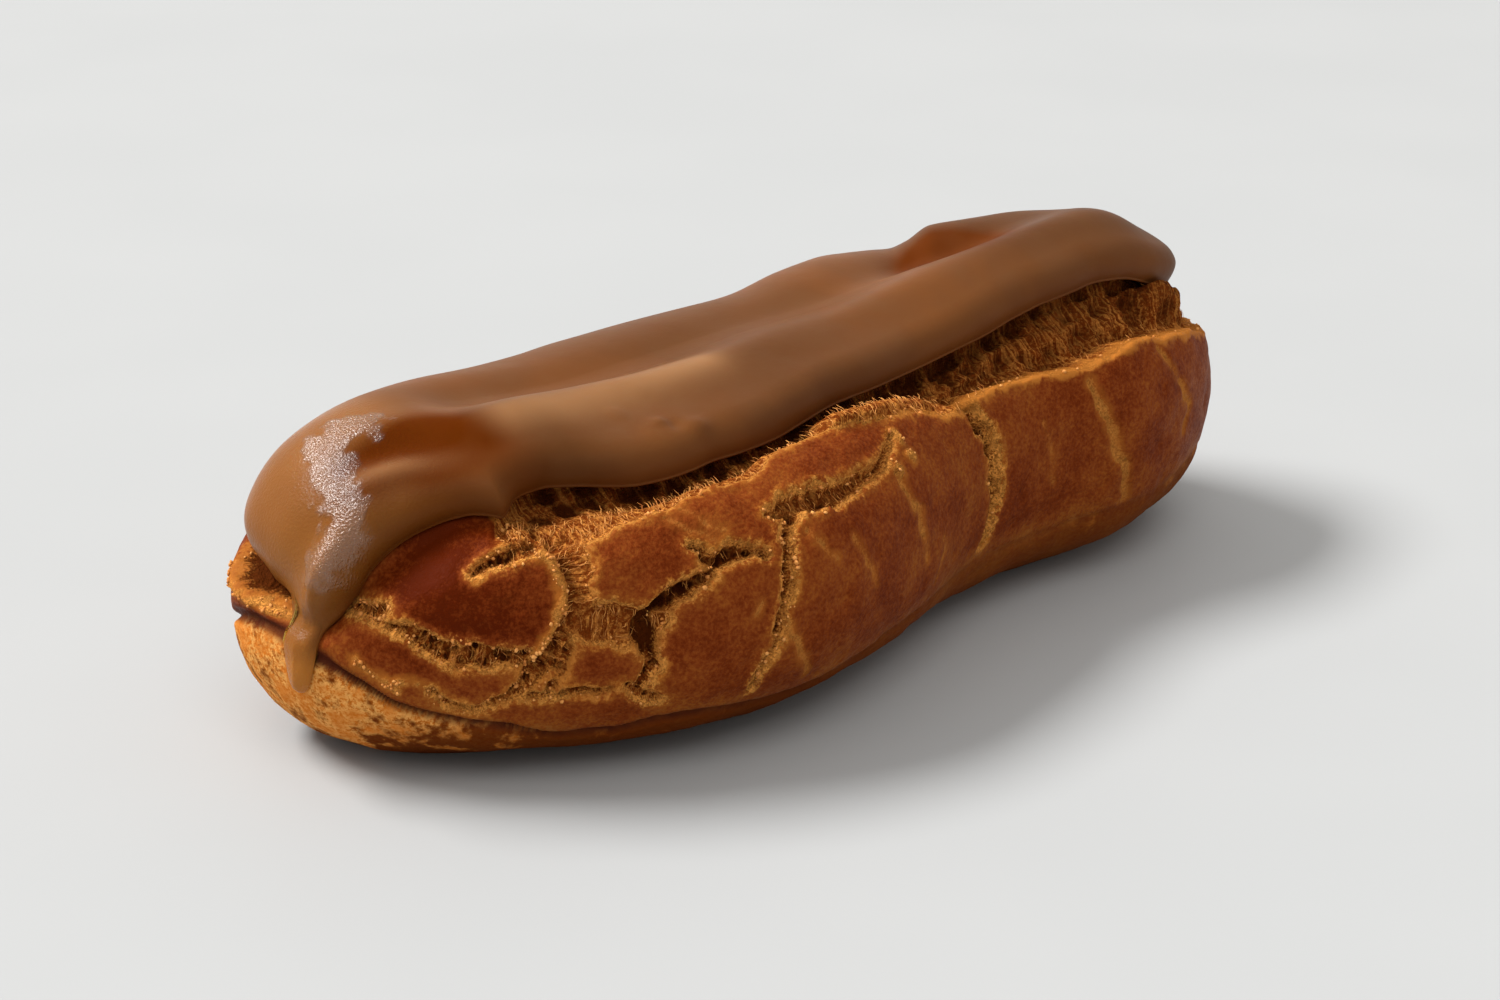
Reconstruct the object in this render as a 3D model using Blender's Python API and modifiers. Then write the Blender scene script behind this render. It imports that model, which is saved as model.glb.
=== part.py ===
"""A coffee eclair, 14 cm long: a baked choux shell and the fondant icing draped over it.

The eclair lies along X on a flat base at z = 0, near end at -X.  Its two solids are

* ``choux_shell``: the browned pastry with its foot, the crease above the foot, a swollen and a
  waisted stretch, and the torn groove between the crust's rim and the icing;
* ``icing``: the thick fondant layer with its rounded lip, a long valley and ridge on top, and
  the drip that runs down the near tip.

Every point is found from two angles.  The heading goes round the plan: 0 at the near tip, 90 in
the middle of the -Y side, 180 at the far tip, 270 in the middle of the +Y side.  The latitude
goes up the section: -90 under the base, 0 at the belly, 90 along the top.
"""

import math

import bmesh
import bpy
from mathutils import Vector

MM = 0.001

# ---- driving dimensions, in millimetres ----
NEAR_LENGTH = 70.0        # from the middle to the near tip
FAR_LENGTH = 70.7         # from the middle to the far tip
NEAR_ROUND = 25.0         # how far the near end draws in from belly to top
FAR_ROUND = 19.0          # the same for the blunter far end
BASE_SINK = 2.0           # how far the round underside would reach below the flat base
PLAN_POWER = 0.8          # below 1 gives the plan fuller corners than an ellipse
SECTION_POWER = 0.85      # the same for the section

# Stations along X (mm): half-widths of the two sides, height over all, height of the belly
FRONT_HALF_WIDTH = {-70: 30.0, -52: 34.5, -26: 37.5, 0: 30.6, 14: 25.2, 26: 23.7, 42: 27.5, 58: 28.5, 70: 29.0}
BACK_HALF_WIDTH = {-70: 24.0, -26: 23.5, 8: 23.5, 22: 25.0, 42: 25.5, 70: 25.5}
HEIGHT = {-70: 39.5, -52: 38.0, -26: 36.0, 8: 36.6, 22: 38.0, 42: 39.8, 54: 40.2, 62: 39.0, 70: 38.2}
BELLY_HEIGHT = {-70: 15.0, -52: 16.0, -26: 17.0, 26: 18.0, 58: 18.0, 70: 17.0}

# Stations round the plan (heading in degrees): latitudes, in degrees, of the lines on the form
SEAM_LATITUDE = {0: 2, 6.5: 0.7, 12.7: -1, 20: -6, 25: -12, 34.5: -20, 42: -25, 50: -30, 62: -28,
                 72: -30, 92: -24, 130: -20, 180: -13, 230: -16, 290: -20, 335: -8, 352: 1, 360: 2}
LIP_LATITUDE = {0: 9.5, 4: 5.8, 7: -11, 8.5: -12.5, 11: -3, 13: 5, 17.7: 15.5, 22.2: 26.5, 26.5: 33.5,
                32.7: 40.5, 38.5: 42.3, 43: 50, 51.8: 53.5, 59.2: 52.3, 71.6: 56.7, 79.7: 57, 88.8: 59.3,
                96: 56.3, 107: 54.3, 121: 59, 130.5: 59, 141: 54, 151: 45, 165: 36, 180: 34, 200: 35,
                225: 38, 250: 44, 275: 36, 300: 40, 325: 27, 336: 19, 345: 14, 360: 9.5}
RIM_LATITUDE = {0: 9.5, 6: 8, 12: 9, 17: 14, 22: 23, 28: 31, 38: 42, 42: 33, 48: 31, 55: 37, 61: 41,
                67: 45.5, 73: 47, 82: 50, 89: 47, 96: 36, 106: 33.5, 114: 31, 126: 34, 134: 29.2,
                141: 28, 147: 30, 153: 33, 165: 33, 180: 31, 200: 32, 225: 33, 250: 38, 275: 31,
                300: 35, 325: 22, 336: 17, 345: 13, 354: 11, 360: 9.5}
RIM_SLOPE = {0: 6.5, 6: 7, 12: 8, 17: 11, 22: 18, 36: 24, 43: 6, 60: 5, 95: 6, 141: 6, 153: 12, 165: 13,
             180: 11, 230: 14, 300: 14, 336: 9, 345: 6, 360: 6.5}
GROOVE_EXTRA = {0: 0.0, 39: 0.0, 44: 1.4, 70: 1.0, 95: 1.6, 105: 1.6, 140: 1.2, 152: 0.1, 185: 0.1,
                220: 0.3, 320: 0.2, 345: 0.0, 360: 0.0}
GROOVE_FADE = 5.0         # degrees of latitude over which the groove deepens and ends
SEAM_DEPTH = {0: 1.5, 60: 1.2, 95: 0.6, 180: 0.5, 290: 0.9, 360: 1.5}
SEAM_HALF_HEIGHT = 3.0    # degrees of latitude

# Cracks across the crust: place along X at the belly (mm), lean (mm along per mm up), depth (mm)
FRONT_CRACKS = ((-47.0, 0.5, 1.6), (-26.0, -0.3, 1.0), (-4.0, 0.2, 1.4), (19.0, -0.4, 1.8), (45.0, 0.3, 0.9))
BACK_CRACKS = ((-38.0, 0.3, 1.0), (8.0, -0.3, 1.5), (40.0, 0.4, 1.0))
CRACK_HALF_WIDTH = 2.0
CRACK_FADE = 8.0          # degrees of latitude over which a crack closes at seam and rim

ICING_THICKNESS = 3.5     # on top
DRIP_THICKNESS = 2.0      # where it runs down over the foot
DRIP_LIFT = 0.6           # how far the drip stands off the swollen foot
DRIP_BED = 1.0            # how far the crust is pressed in behind the drip
DRIP_HEADING = 10.0
DRIP_BED_HALF_TURN = 6.0        # degrees of heading
DRIP_BED_HALF_HEIGHT = 16.0     # degrees of latitude
DRIP_ZONE = (-5.0, 30.0)        # latitudes between which the icing thickens from drip to full
UNDER_ICING_ROOM = 0.5    # more room between shell and icing where neither shows
LIP_CROWDING = 1.6        # above 1 sets the icing's rows closer together near its lip
LIP_EDGE = 1.2            # height of the blunt edge of the lip
LIP_ROUND_LEVEL = 0.33    # share of the way to the top line over which the lip rounds off
LAYER_GAP = 0.4           # between the shell and the icing
VALLEY_DEPTH = {-60: 0.0, -42: 2.0, -30: 2.0, -15: 1.6, 4: 1.2, 20: 1.5, 35: 2.4, 48: 1.3, 62: 0.0}
VALLEY_BEHIND_RIDGE = 8.2       # distance of the valley's line from the ridge's
VALLEY_HALF_WIDTH = 4.6
RIDGE_RISE = {-60: 0.0, -42: 1.2, -30: 1.3, -14: 0.9, 8: 0.8, 30: 1.2, 50: 1.0, 64: 0.0}
RIDGE_Y = {-60: -10.5, -50: -9.2, -40: -8.6, -16: -8.8, 0: -7.0, 20: -6.2, 34: -5.2, 60: -4.6}
RIDGE_HALF_WIDTH = 3.8
TOP_LATITUDES = (60.0, 80.0)    # ridge and valley grow between these latitudes
FOOT_BULGE = 0.35         # how far the foot swells under the seam
FOOT_HALF_HEIGHT = 10.0   # degrees of latitude

# Sheets of cells that are wrapped over the form: cells along and across
SHELL_CELLS = (50, 20)
ICING_CELLS = (48, 16)
SHELL_CORNER = 40.0       # heading from a tip to where the sheet's corner sits
ICING_CORNER = 32.0
SHARP_ANGLE = 50.0

CHOUX_COLOUR = (0.36, 0.12, 0.025, 1.0)
ICING_COLOUR = (0.25, 0.115, 0.048, 1.0)


# ---- small maths ----
def smoothstep(low, high, value):
    """Ease from 0 at low to 1 at high."""
    part = min(max((value - low) / (high - low), 0.0), 1.0)
    return part * part * (3.0 - 2.0 * part)


def bell(value, middle, half_width):
    """A smooth bump of height 1."""
    return math.exp(-((value - middle) / half_width) ** 2)


def signed_power(value, power):
    """Raise a number's size to a power and keep its sign."""
    return math.copysign(abs(value) ** power, value)


def along_stations(stations, place):
    """Read a smooth curve through named stations; it never swings past a station."""
    places = list(stations)
    values = [float(v) for v in stations.values()]
    place = min(max(place, places[0]), places[-1])
    last = len(places) - 2
    index = min(next((i for i in range(last + 1) if place <= places[i + 1]), last), last)
    slopes = [(values[i + 1] - values[i]) / (places[i + 1] - places[i]) for i in range(last + 1)]

    def tangent(i):
        if i == 0 or i == last + 1 or slopes[i - 1] * slopes[i] <= 0.0:
            return 0.0
        return 2.0 * slopes[i - 1] * slopes[i] / (slopes[i - 1] + slopes[i])

    span = places[index + 1] - places[index]
    t = (place - places[index]) / span
    start_weight = (1.0 + 2.0 * t) * (1.0 - t) ** 2
    start_pull = t * (1.0 - t) ** 2 * span
    end_weight = t * t * (3.0 - 2.0 * t)
    end_pull = t * t * (t - 1.0) * span
    return (start_weight * values[index] + start_pull * tangent(index)
            + end_weight * values[index + 1] + end_pull * tangent(index + 1))


# ---- the smooth form ----
def form_point(heading, latitude):
    """A point in mm on the eclair's outer form, before grooves and layers."""
    around = math.radians(heading)
    up = math.radians(latitude)
    along = -signed_power(math.cos(around), PLAN_POWER)
    aside = -signed_power(math.sin(around), PLAN_POWER)
    spread = abs(math.cos(up)) ** SECTION_POWER
    rise = signed_power(math.sin(up), SECTION_POWER)
    if along < 0.0:
        x = (NEAR_LENGTH - NEAR_ROUND * (1.0 - spread)) * along
    else:
        x = (FAR_LENGTH - FAR_ROUND * (1.0 - spread)) * along
    half_width = along_stations(FRONT_HALF_WIDTH if aside < 0.0 else BACK_HALF_WIDTH, x)
    belly = along_stations(BELLY_HEIGHT, x)
    if rise > 0.0:
        z = belly + (along_stations(HEIGHT, x) - belly) * rise
    else:
        z = max(belly + (belly + BASE_SINK) * rise, 0.0)
    return Vector((x, half_width * spread * aside, z))


def outward(heading, latitude):
    """The outward direction of the form at a point."""
    step = 0.5    # degrees
    if latitude > 90.0 - 2 * step:
        return Vector((0.0, 0.0, 1.0))
    across = form_point(heading + step, latitude) - form_point(heading - step, latitude)
    upward = form_point(heading, latitude + step) - form_point(heading, latitude - step)
    return across.cross(upward).normalized()


def layer_depth(heading, latitude):
    """How far the bare crust lies under the form: the full icing above the rim, none below it."""
    rim = along_stations(RIM_LATITUDE, heading)
    foot_of_slope = rim - along_stations(RIM_SLOPE, heading)
    return (ICING_THICKNESS + LAYER_GAP) * smoothstep(foot_of_slope, rim, latitude)


def groove_depth(heading, latitude):
    """The extra depth of the torn groove between the rim and the icing's lip."""
    rim = along_stations(RIM_LATITUDE, heading)
    lip = along_stations(LIP_LATITUDE, heading)
    past_rim = smoothstep(rim - GROOVE_FADE, rim, latitude)
    before_lip = 1.0 - smoothstep(lip, lip + GROOVE_FADE, latitude)
    return along_stations(GROOVE_EXTRA, heading) * past_rim * before_lip


def crease_depth(heading, latitude):
    """The crease that parts the foot from the rest of the crust."""
    seam = along_stations(SEAM_LATITUDE, heading)
    return along_stations(SEAM_DEPTH, heading) * bell(latitude, seam, SEAM_HALF_HEIGHT)


def crack_depth(heading, latitude):
    """The open cracks that run up the sides from the seam to the rim."""
    seam = along_stations(SEAM_LATITUDE, heading)
    rim = along_stations(RIM_LATITUDE, heading)
    point = form_point(heading, latitude)
    above_belly = point.z - along_stations(BELLY_HEIGHT, point.x)
    cracks = FRONT_CRACKS if heading < 180.0 else BACK_CRACKS
    depth = sum(deep * bell(point.x, place + lean * above_belly, CRACK_HALF_WIDTH)
                for place, lean, deep in cracks)
    opens = smoothstep(seam, seam + CRACK_FADE, latitude)
    closes = 1.0 - smoothstep(rim - CRACK_FADE, rim, latitude)
    return depth * opens * closes


def hidden_room(heading, latitude):
    """Extra room under the icing, away from its lip, and behind the drip."""
    lip = along_stations(LIP_LATITUDE, heading)
    room_starts = max(lip, 0.0) + 3.0
    under_icing = UNDER_ICING_ROOM * smoothstep(room_starts, room_starts + 12.0, latitude)
    behind_drip = (DRIP_BED * bell(heading, DRIP_HEADING, DRIP_BED_HALF_TURN)
                   * bell(latitude, 0.0, DRIP_BED_HALF_HEIGHT))
    return under_icing + behind_drip


def crust_depth(heading, latitude):
    """How far the crust lies under the form, everything counted."""
    return (layer_depth(heading, latitude) + groove_depth(heading, latitude)
            + crease_depth(heading, latitude) + crack_depth(heading, latitude)
            + hidden_room(heading, latitude))


def top_relief(point):
    """Height that the long ridge and valley add on top of the icing."""
    ridge_y = along_stations(RIDGE_Y, point.x)
    ridge = along_stations(RIDGE_RISE, point.x) * bell(point.y, ridge_y, RIDGE_HALF_WIDTH)
    valley = (along_stations(VALLEY_DEPTH, point.x)
              * bell(point.y, ridge_y + VALLEY_BEHIND_RIDGE, VALLEY_HALF_WIDTH))
    return ridge - valley


# ---- wrapping a sheet of cells over the form ----
def ring_place(i, j, cells, corner):
    """Where a sheet's grid point sits: its heading, and its level from 0 at the edge to 1."""
    along, across = cells
    half = across // 2
    level = min(i, along - i, j, across - j)
    if level in (j, across - j):
        part = (i - level) / (along - 2 * level)
        reach = math.cos(math.radians(corner)) ** PLAN_POWER
        run = signed_power(reach * (1.0 - 2.0 * part), 1.0 / PLAN_POWER)
        heading = math.degrees(math.acos(run))
        if j > half:
            heading = 360.0 - heading
    else:
        part = (j - level) / (across - 2 * level)
        swing = corner * (1.0 - 2.0 * part)
        heading = swing % 360.0 if i < along / 2 else 180.0 - swing
    return heading, level / half


def read_levels(stops, level):
    """Linear reading between evenly spaced stops."""
    scaled = level * (len(stops) - 1)
    index = min(int(scaled), len(stops) - 2)
    part = scaled - index
    return stops[index] * (1.0 - part) + stops[index + 1] * part


def shell_upper_point(heading, level):
    """A point of the shell above the seam; level 1 is the top line."""
    seam = along_stations(SEAM_LATITUDE, heading)
    rim = along_stations(RIM_LATITUDE, heading)
    slope_foot = rim - along_stations(RIM_SLOPE, heading)
    lip = along_stations(LIP_LATITUDE, heading)
    shoulder = max(slope_foot, seam + 9.0)
    inner_rim = max(rim, shoulder + 4.0)
    under_lip = max(lip + 1.0, inner_rim + 3.0)
    start = seam + 3.0
    stops = (start, start + (shoulder - start) / 3, start + (shoulder - start) * 2 / 3, shoulder,
             (shoulder + inner_rim) / 2, inner_rim, under_lip, under_lip + (90 - under_lip) * 0.2,
             under_lip + (90 - under_lip) * 0.45, under_lip + (90 - under_lip) * 0.7, 90.0)
    latitude = read_levels(stops, level)
    depth = crust_depth(heading, latitude)
    point = form_point(heading, latitude)
    lowered = point - outward(heading, latitude) * depth
    if level == 1.0:
        lowered = point - Vector((0.0, 0.0, depth))
    lowered.z += min(top_relief(point), 0.0) * smoothstep(*TOP_LATITUDES, latitude)
    return lowered


def base_latitude(heading):
    """The latitude at which the round side meets the flat base."""
    belly = along_stations(BELLY_HEIGHT, form_point(heading, 0.0).x)
    return -math.degrees(math.asin((belly / (belly + BASE_SINK)) ** (1.0 / SECTION_POWER)))


def shell_lower_point(heading, level):
    """A point of the shell below the seam; level 1 is the middle of the base."""
    seam = along_stations(SEAM_LATITUDE, heading)
    base = base_latitude(heading)
    stops = (seam, seam - 4.0, seam + (base - seam) / 3, seam + (base - seam) * 2 / 3, base,
             base - (90 + base) / 6, base - (90 + base) / 3, base - (90 + base) / 2,
             base - (90 + base) * 2 / 3, base - (90 + base) * 5 / 6, -90.0)
    latitude = read_levels(stops, level)
    point = form_point(heading, latitude)
    if latitude <= base + 0.01:
        point.z = 0.0
        return point
    bulge = FOOT_BULGE * bell(latitude, (seam * 2 + base) / 3, FOOT_HALF_HEIGHT)
    return point + outward(heading, latitude) * (bulge - crust_depth(heading, latitude))


def icing_point(heading, level, outer):
    """A point of the icing's outer face, or of its underside."""
    lip = along_stations(LIP_LATITUDE, heading)
    latitude = lip + (90.0 - lip) * level ** LIP_CROWDING
    point = form_point(heading, latitude)
    on_top = smoothstep(*DRIP_ZONE, latitude)
    under = layer_depth(heading, latitude) - LAYER_GAP - DRIP_LIFT * (1.0 - on_top)
    full = DRIP_THICKNESS + (ICING_THICKNESS - DRIP_THICKNESS) * on_top
    rounded = LIP_EDGE + (full - LIP_EDGE) * math.sqrt(min(level / LIP_ROUND_LEVEL, 1.0))
    depth = under - rounded if outer else under
    if level == 1.0:
        moved = point - Vector((0.0, 0.0, depth))
    else:
        moved = point - outward(heading, latitude) * depth
    relief = top_relief(point)
    moved.z += (relief if outer else min(relief, 0.0)) * smoothstep(*TOP_LATITUDES, latitude)
    return moved


# ---- meshes and objects ----
def clear_scene():
    """Remove whatever the scene holds."""
    for old in list(bpy.data.objects):
        bpy.data.objects.remove(old, do_unlink=True)


def make_material(name, colour, roughness):
    """A plain Principled material."""
    material = bpy.data.materials.new(name)
    material.use_nodes = True
    shader = material.node_tree.nodes["Principled BSDF"]
    shader.inputs["Base Color"].default_value = colour
    shader.inputs["Roughness"].default_value = roughness
    shader.inputs["Metallic"].default_value = 0.0
    return material


def two_sided_sheet(name, cells):
    """A flat grid of unit cells, closed to a thin slab by Solidify, as a plain mesh."""
    along, across = cells
    sheet = bmesh.new()
    bmesh.ops.create_grid(sheet, x_segments=along, y_segments=across, size=0.5)
    bmesh.ops.scale(sheet, vec=(along, across, 1.0), verts=sheet.verts)
    flat = bpy.data.meshes.new(name + "_sheet")
    sheet.to_mesh(flat)
    sheet.free()
    holder = bpy.data.objects.new(name + "_sheet", flat)
    bpy.context.scene.collection.objects.link(holder)
    slab = holder.modifiers.new("Slab", "SOLIDIFY")
    slab.thickness = 1.0
    slab.offset = 0.0
    evaluated = holder.evaluated_get(bpy.context.evaluated_depsgraph_get())
    mesh = bpy.data.meshes.new_from_object(evaluated)
    bpy.data.objects.remove(holder, do_unlink=True)
    bpy.data.meshes.remove(flat)
    return mesh


def wrap_sheet(name, cells, corner, place_point, material, collection):
    """Wrap a two-sided sheet over the form: its upper and lower faces go where the rule says."""
    along, across = cells
    mesh = two_sided_sheet(name, cells)
    mesh.name = name
    body = bmesh.new()
    body.from_mesh(mesh)
    for vertex in body.verts:
        i = round(vertex.co.x + along / 2)
        j = round(vertex.co.y + across / 2)
        heading, level = ring_place(i, j, cells, corner)
        vertex.co = place_point(heading, level, vertex.co.z > 0.0) * MM
    bmesh.ops.triangulate(body, faces=body.faces, quad_method="SHORT_EDGE")
    bmesh.ops.recalc_face_normals(body, faces=body.faces)
    body.to_mesh(mesh)
    body.free()
    mesh.shade_smooth()
    mesh.set_sharp_from_angle(angle=math.radians(SHARP_ANGLE))
    mesh.materials.clear()
    mesh.materials.append(material)
    piece = bpy.data.objects.new(name, mesh)
    collection.objects.link(piece)
    return piece


def build_choux_shell(collection):
    """The baked pastry, solid inside."""
    def place_point(heading, level, upper):
        return shell_upper_point(heading, level) if upper else shell_lower_point(heading, level)

    crust = make_material("choux", CHOUX_COLOUR, 0.45)
    return wrap_sheet("choux_shell", SHELL_CELLS, SHELL_CORNER, place_point, crust, collection)


def build_icing(collection):
    """The fondant layer, with its lip and its drip."""
    fondant = make_material("fondant", ICING_COLOUR, 0.3)
    return wrap_sheet("icing", ICING_CELLS, ICING_CORNER, icing_point, fondant, collection)


def centre_over_origin(pieces):
    """Slide the pieces together along X and Y until their common box stands over the origin."""
    points = [vertex.co for piece in pieces for vertex in piece.data.vertices]
    for axis in (0, 1):
        middle = (min(p[axis] for p in points) + max(p[axis] for p in points)) / 2
        for point in points:
            point[axis] -= middle


def main():
    """Build the eclair in a collection of its own."""
    clear_scene()
    collection = bpy.data.collections.new("eclair")
    bpy.context.scene.collection.children.link(collection)
    shell = build_choux_shell(collection)
    icing = build_icing(collection)
    centre_over_origin((shell, icing))


main()
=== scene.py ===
"""Looks of a whole coffee eclair: its cracked choux crust, the torn crumb in the cracks, loose
crumbs, and the coat of fondant that drips down its near end.

All shapes are worked out in millimetres on one smooth form and set down in metres on the solids
of the frame.  A place on the form has two angles: the heading runs round the plan (0 at the near
tip, 90 in the middle of the front, 180 at the far tip, 270 in the middle of the back), and the
latitude runs up the section (-90 under the base, 0 at the belly, 90 along the top).
"""

import logging
import math
from dataclasses import dataclass, field
from enum import Enum

import bpy
import numpy as np
from mathutils import Matrix, Vector


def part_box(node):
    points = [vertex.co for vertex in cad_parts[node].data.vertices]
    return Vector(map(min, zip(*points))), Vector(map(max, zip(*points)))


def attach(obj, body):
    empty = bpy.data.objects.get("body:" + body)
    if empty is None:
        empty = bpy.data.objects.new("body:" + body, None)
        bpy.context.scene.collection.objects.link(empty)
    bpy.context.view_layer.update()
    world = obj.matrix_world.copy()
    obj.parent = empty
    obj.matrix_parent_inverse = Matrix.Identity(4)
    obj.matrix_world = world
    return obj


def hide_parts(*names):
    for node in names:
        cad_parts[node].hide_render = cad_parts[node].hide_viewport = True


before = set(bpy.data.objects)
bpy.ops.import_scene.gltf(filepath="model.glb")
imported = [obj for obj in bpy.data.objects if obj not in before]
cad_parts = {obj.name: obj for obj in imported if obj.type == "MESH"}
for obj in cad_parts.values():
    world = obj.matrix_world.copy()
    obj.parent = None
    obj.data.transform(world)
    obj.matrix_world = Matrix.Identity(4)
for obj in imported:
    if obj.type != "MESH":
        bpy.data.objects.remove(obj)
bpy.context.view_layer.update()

MM = 0.001
HALF_TURN = 180.0
FULL_TURN = 360.0
POLE = 89.9           # the highest latitude at which a slope is read
NONE_NEAR = 9.0       # mm, the distance noted where no edge is near
logger = logging.getLogger("eclair")

Stations = dict[float, float]           # values by place
Pair = tuple[float, float]
Triple = tuple[float, float, float]
Colour = Triple
Course = tuple[tuple[float, ...], ...]    # a row of places
Array = np.ndarray
Socket = bpy.types.NodeSocket


class Side(Enum):
    """The long side or the end that a mark lies on."""

    FRONT = "front"
    BACK = "back"
    NEAR_TIP = "near tip"
    FAR_TIP = "far tip"


class Opening(Enum):
    """What the crust is like along a crack."""

    LINE = "line"        # a golden stretch mark, not open
    FRINGE = "fringe"    # a pale crumbly edge that stands up a little
    SPLIT = "split"      # open down to the crumb
    POCKED = "pocked"    # open, with a comb of small pits
    TORN = "torn"        # wide open, with fibres drawn across
    HOLE = "hole"        # a hole, painted dark as shade


# ---- small maths


def default(stations: Stations) -> Stations:
    """Make stations the default of a dataclass field."""
    return field(default_factory=lambda: dict(stations))


def ease(low: float | Array, high: float | Array, value: Array) -> Array:
    """Ease from 0 at low to 1 at high."""
    part = np.clip((value - low) / (high - low), 0.0, 1.0)
    return part * part * (3.0 - 2.0 * part)


def bell(value: Array, middle: float | Array, half_width: float | Array) -> Array:
    """A smooth bump of height 1."""
    return np.exp(-(((value - middle) / half_width) ** 2))


def signed_power(value: Array, power: float) -> Array:
    """Raise the size of each number to a power and keep its sign."""
    return np.sign(value) * np.abs(value) ** power


def read_at(stations: Stations, place: Array) -> Array:
    """Read a smooth curve through stations that never swings past one of them.

    Args:
        stations: value at each place, in rising order of place.
        place: where to read it; outside the stations the end values hold.

    Returns:
        The values read, in the shape of place.
    """
    places = np.array(list(stations), float)
    values = np.array(list(stations.values()), float)
    spans = np.diff(places)
    slopes = np.diff(values) / spans
    tangents = np.zeros_like(values)
    rising = slopes[:-1] * slopes[1:] > 0.0
    total = np.where(rising, slopes[:-1] + slopes[1:], 1.0)
    tangents[1:-1] = np.where(rising, 2.0 * slopes[:-1] * slopes[1:] / total, 0.0)
    place = np.clip(place, places[0], places[-1])
    index = np.clip(np.searchsorted(places, place, side="left") - 1, 0, len(places) - 2)
    span = spans[index]
    t = (place - places[index]) / span
    start = (1.0 + 2.0 * t) * (1.0 - t) ** 2 * values[index]
    start_pull = t * (1.0 - t) ** 2 * span * tangents[index]
    end = t * t * (3.0 - 2.0 * t) * values[index + 1]
    end_pull = t * t * (t - 1.0) * span * tangents[index + 1]
    return start + start_pull + end + end_pull


def unit(vectors: Array) -> Array:
    """Scale vectors to length 1."""
    return vectors / np.maximum(np.linalg.norm(vectors, axis=-1, keepdims=True), 1e-12)


def path_distance(points: Array, path: Course) -> Array:
    """Distance of every point from a path of straight pieces.

    Args:
        points: places, coordinates on the last axis.
        path: the path's corners, with as many coordinates.

    Returns:
        The distances, one a place.
    """
    nearest = np.full(points.shape[:-1], np.inf)
    corners = np.array(path, float)
    for start, end in zip(corners[:-1], corners[1:]):
        step = end - start
        t = np.clip((points - start) @ step / (step @ step), 0.0, 1.0)
        nearest = np.minimum(nearest, np.linalg.norm(points - start - t[..., None] * step, axis=-1))
    return nearest


class GrainNoise:
    """Smooth seeded noise in space, for everything about the bake that is uneven."""

    TABLE = 256
    GAIN = 1.6            # brings one layer to about -1 to 1
    LAYER_SHIFT = 17.3    # mm between the places at which two layers are read
    SCATTER = 0.4         # how far a bubble's centre strays from its cell's middle

    def __init__(self, seed: int) -> None:
        """Draw the noise's gradients.

        Args:
            seed: picks the pattern; the same seed gives the same pattern.
        """
        generator = np.random.default_rng(seed)
        order = generator.permutation(self.TABLE)
        self.order = np.concatenate([order, order])
        self.gradients = unit(generator.normal(size=(self.TABLE, 3)))

    def _hash(self, cell: Array) -> Array:
        """The table entry of a lattice cell."""
        x, y, z = (cell[..., k] % self.TABLE for k in range(3))
        return self.order[self.order[self.order[x] + y] + z]

    def plain(self, points: Array, size: float | Triple) -> Array:
        """One layer of noise, about -1 to 1.

        Args:
            points: places in mm, the last axis holding x, y and z.
            size: the width of a lump in mm, or one width for each axis.

        Returns:
            The noise at each place.
        """
        scaled = points / np.asarray(size, float)
        cell = np.floor(scaled).astype(np.int64)
        inside = scaled - cell
        weight = inside**3 * (inside * (inside * 6.0 - 15.0) + 10.0)
        total = np.zeros(points.shape[:-1])
        for corner in np.ndindex(2, 2, 2):
            shift = np.array(corner)
            gradient = self.gradients[self._hash(cell + shift)]
            share = np.prod(np.where(shift == 1, weight, 1.0 - weight), axis=-1)
            total += share * np.sum(gradient * (inside - shift), axis=-1)
        return total * self.GAIN

    def layered(self, points: Array, size: float | Triple,
                layers: int = 3, fall: float = 0.5) -> Array:
        """Several layers of noise, each half the size of the one before.

        Args:
            points: places in mm.
            size: the width of the largest lumps in mm.
            layers: how many layers.
            fall: strength of each layer against the one before.

        Returns:
            The noise at each place, about -1 to 1.
        """
        size = np.asarray(size, float)
        total = np.zeros(points.shape[:-1])
        strength = 1.0
        for layer in range(layers):
            total += strength * self.plain(points + self.LAYER_SHIFT * layer, size / 2**layer)
            strength *= fall
        return total

    def bubbles(self, points: Array, size: float | Triple) -> Array:
        """Distance to the nearest of many scattered bubble centres, in bubble sizes.

        Args:
            points: places in mm.
            size: mean spacing of the bubbles in mm, or one for each axis.

        Returns:
            0 at a bubble's centre, near 1 on the walls between bubbles.
        """
        scaled = points / np.asarray(size, float)
        cell = np.floor(scaled).astype(np.int64)
        nearest = np.full(points.shape[:-1], np.inf)
        for corner in np.ndindex(3, 3, 3):
            neighbour = cell + np.array(corner) - 1
            centre = neighbour + 0.5 + self.SCATTER * self.gradients[self._hash(neighbour)]
            nearest = np.minimum(nearest, np.linalg.norm(scaled - centre, axis=-1))
        return nearest


# ---- the smooth form


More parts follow.
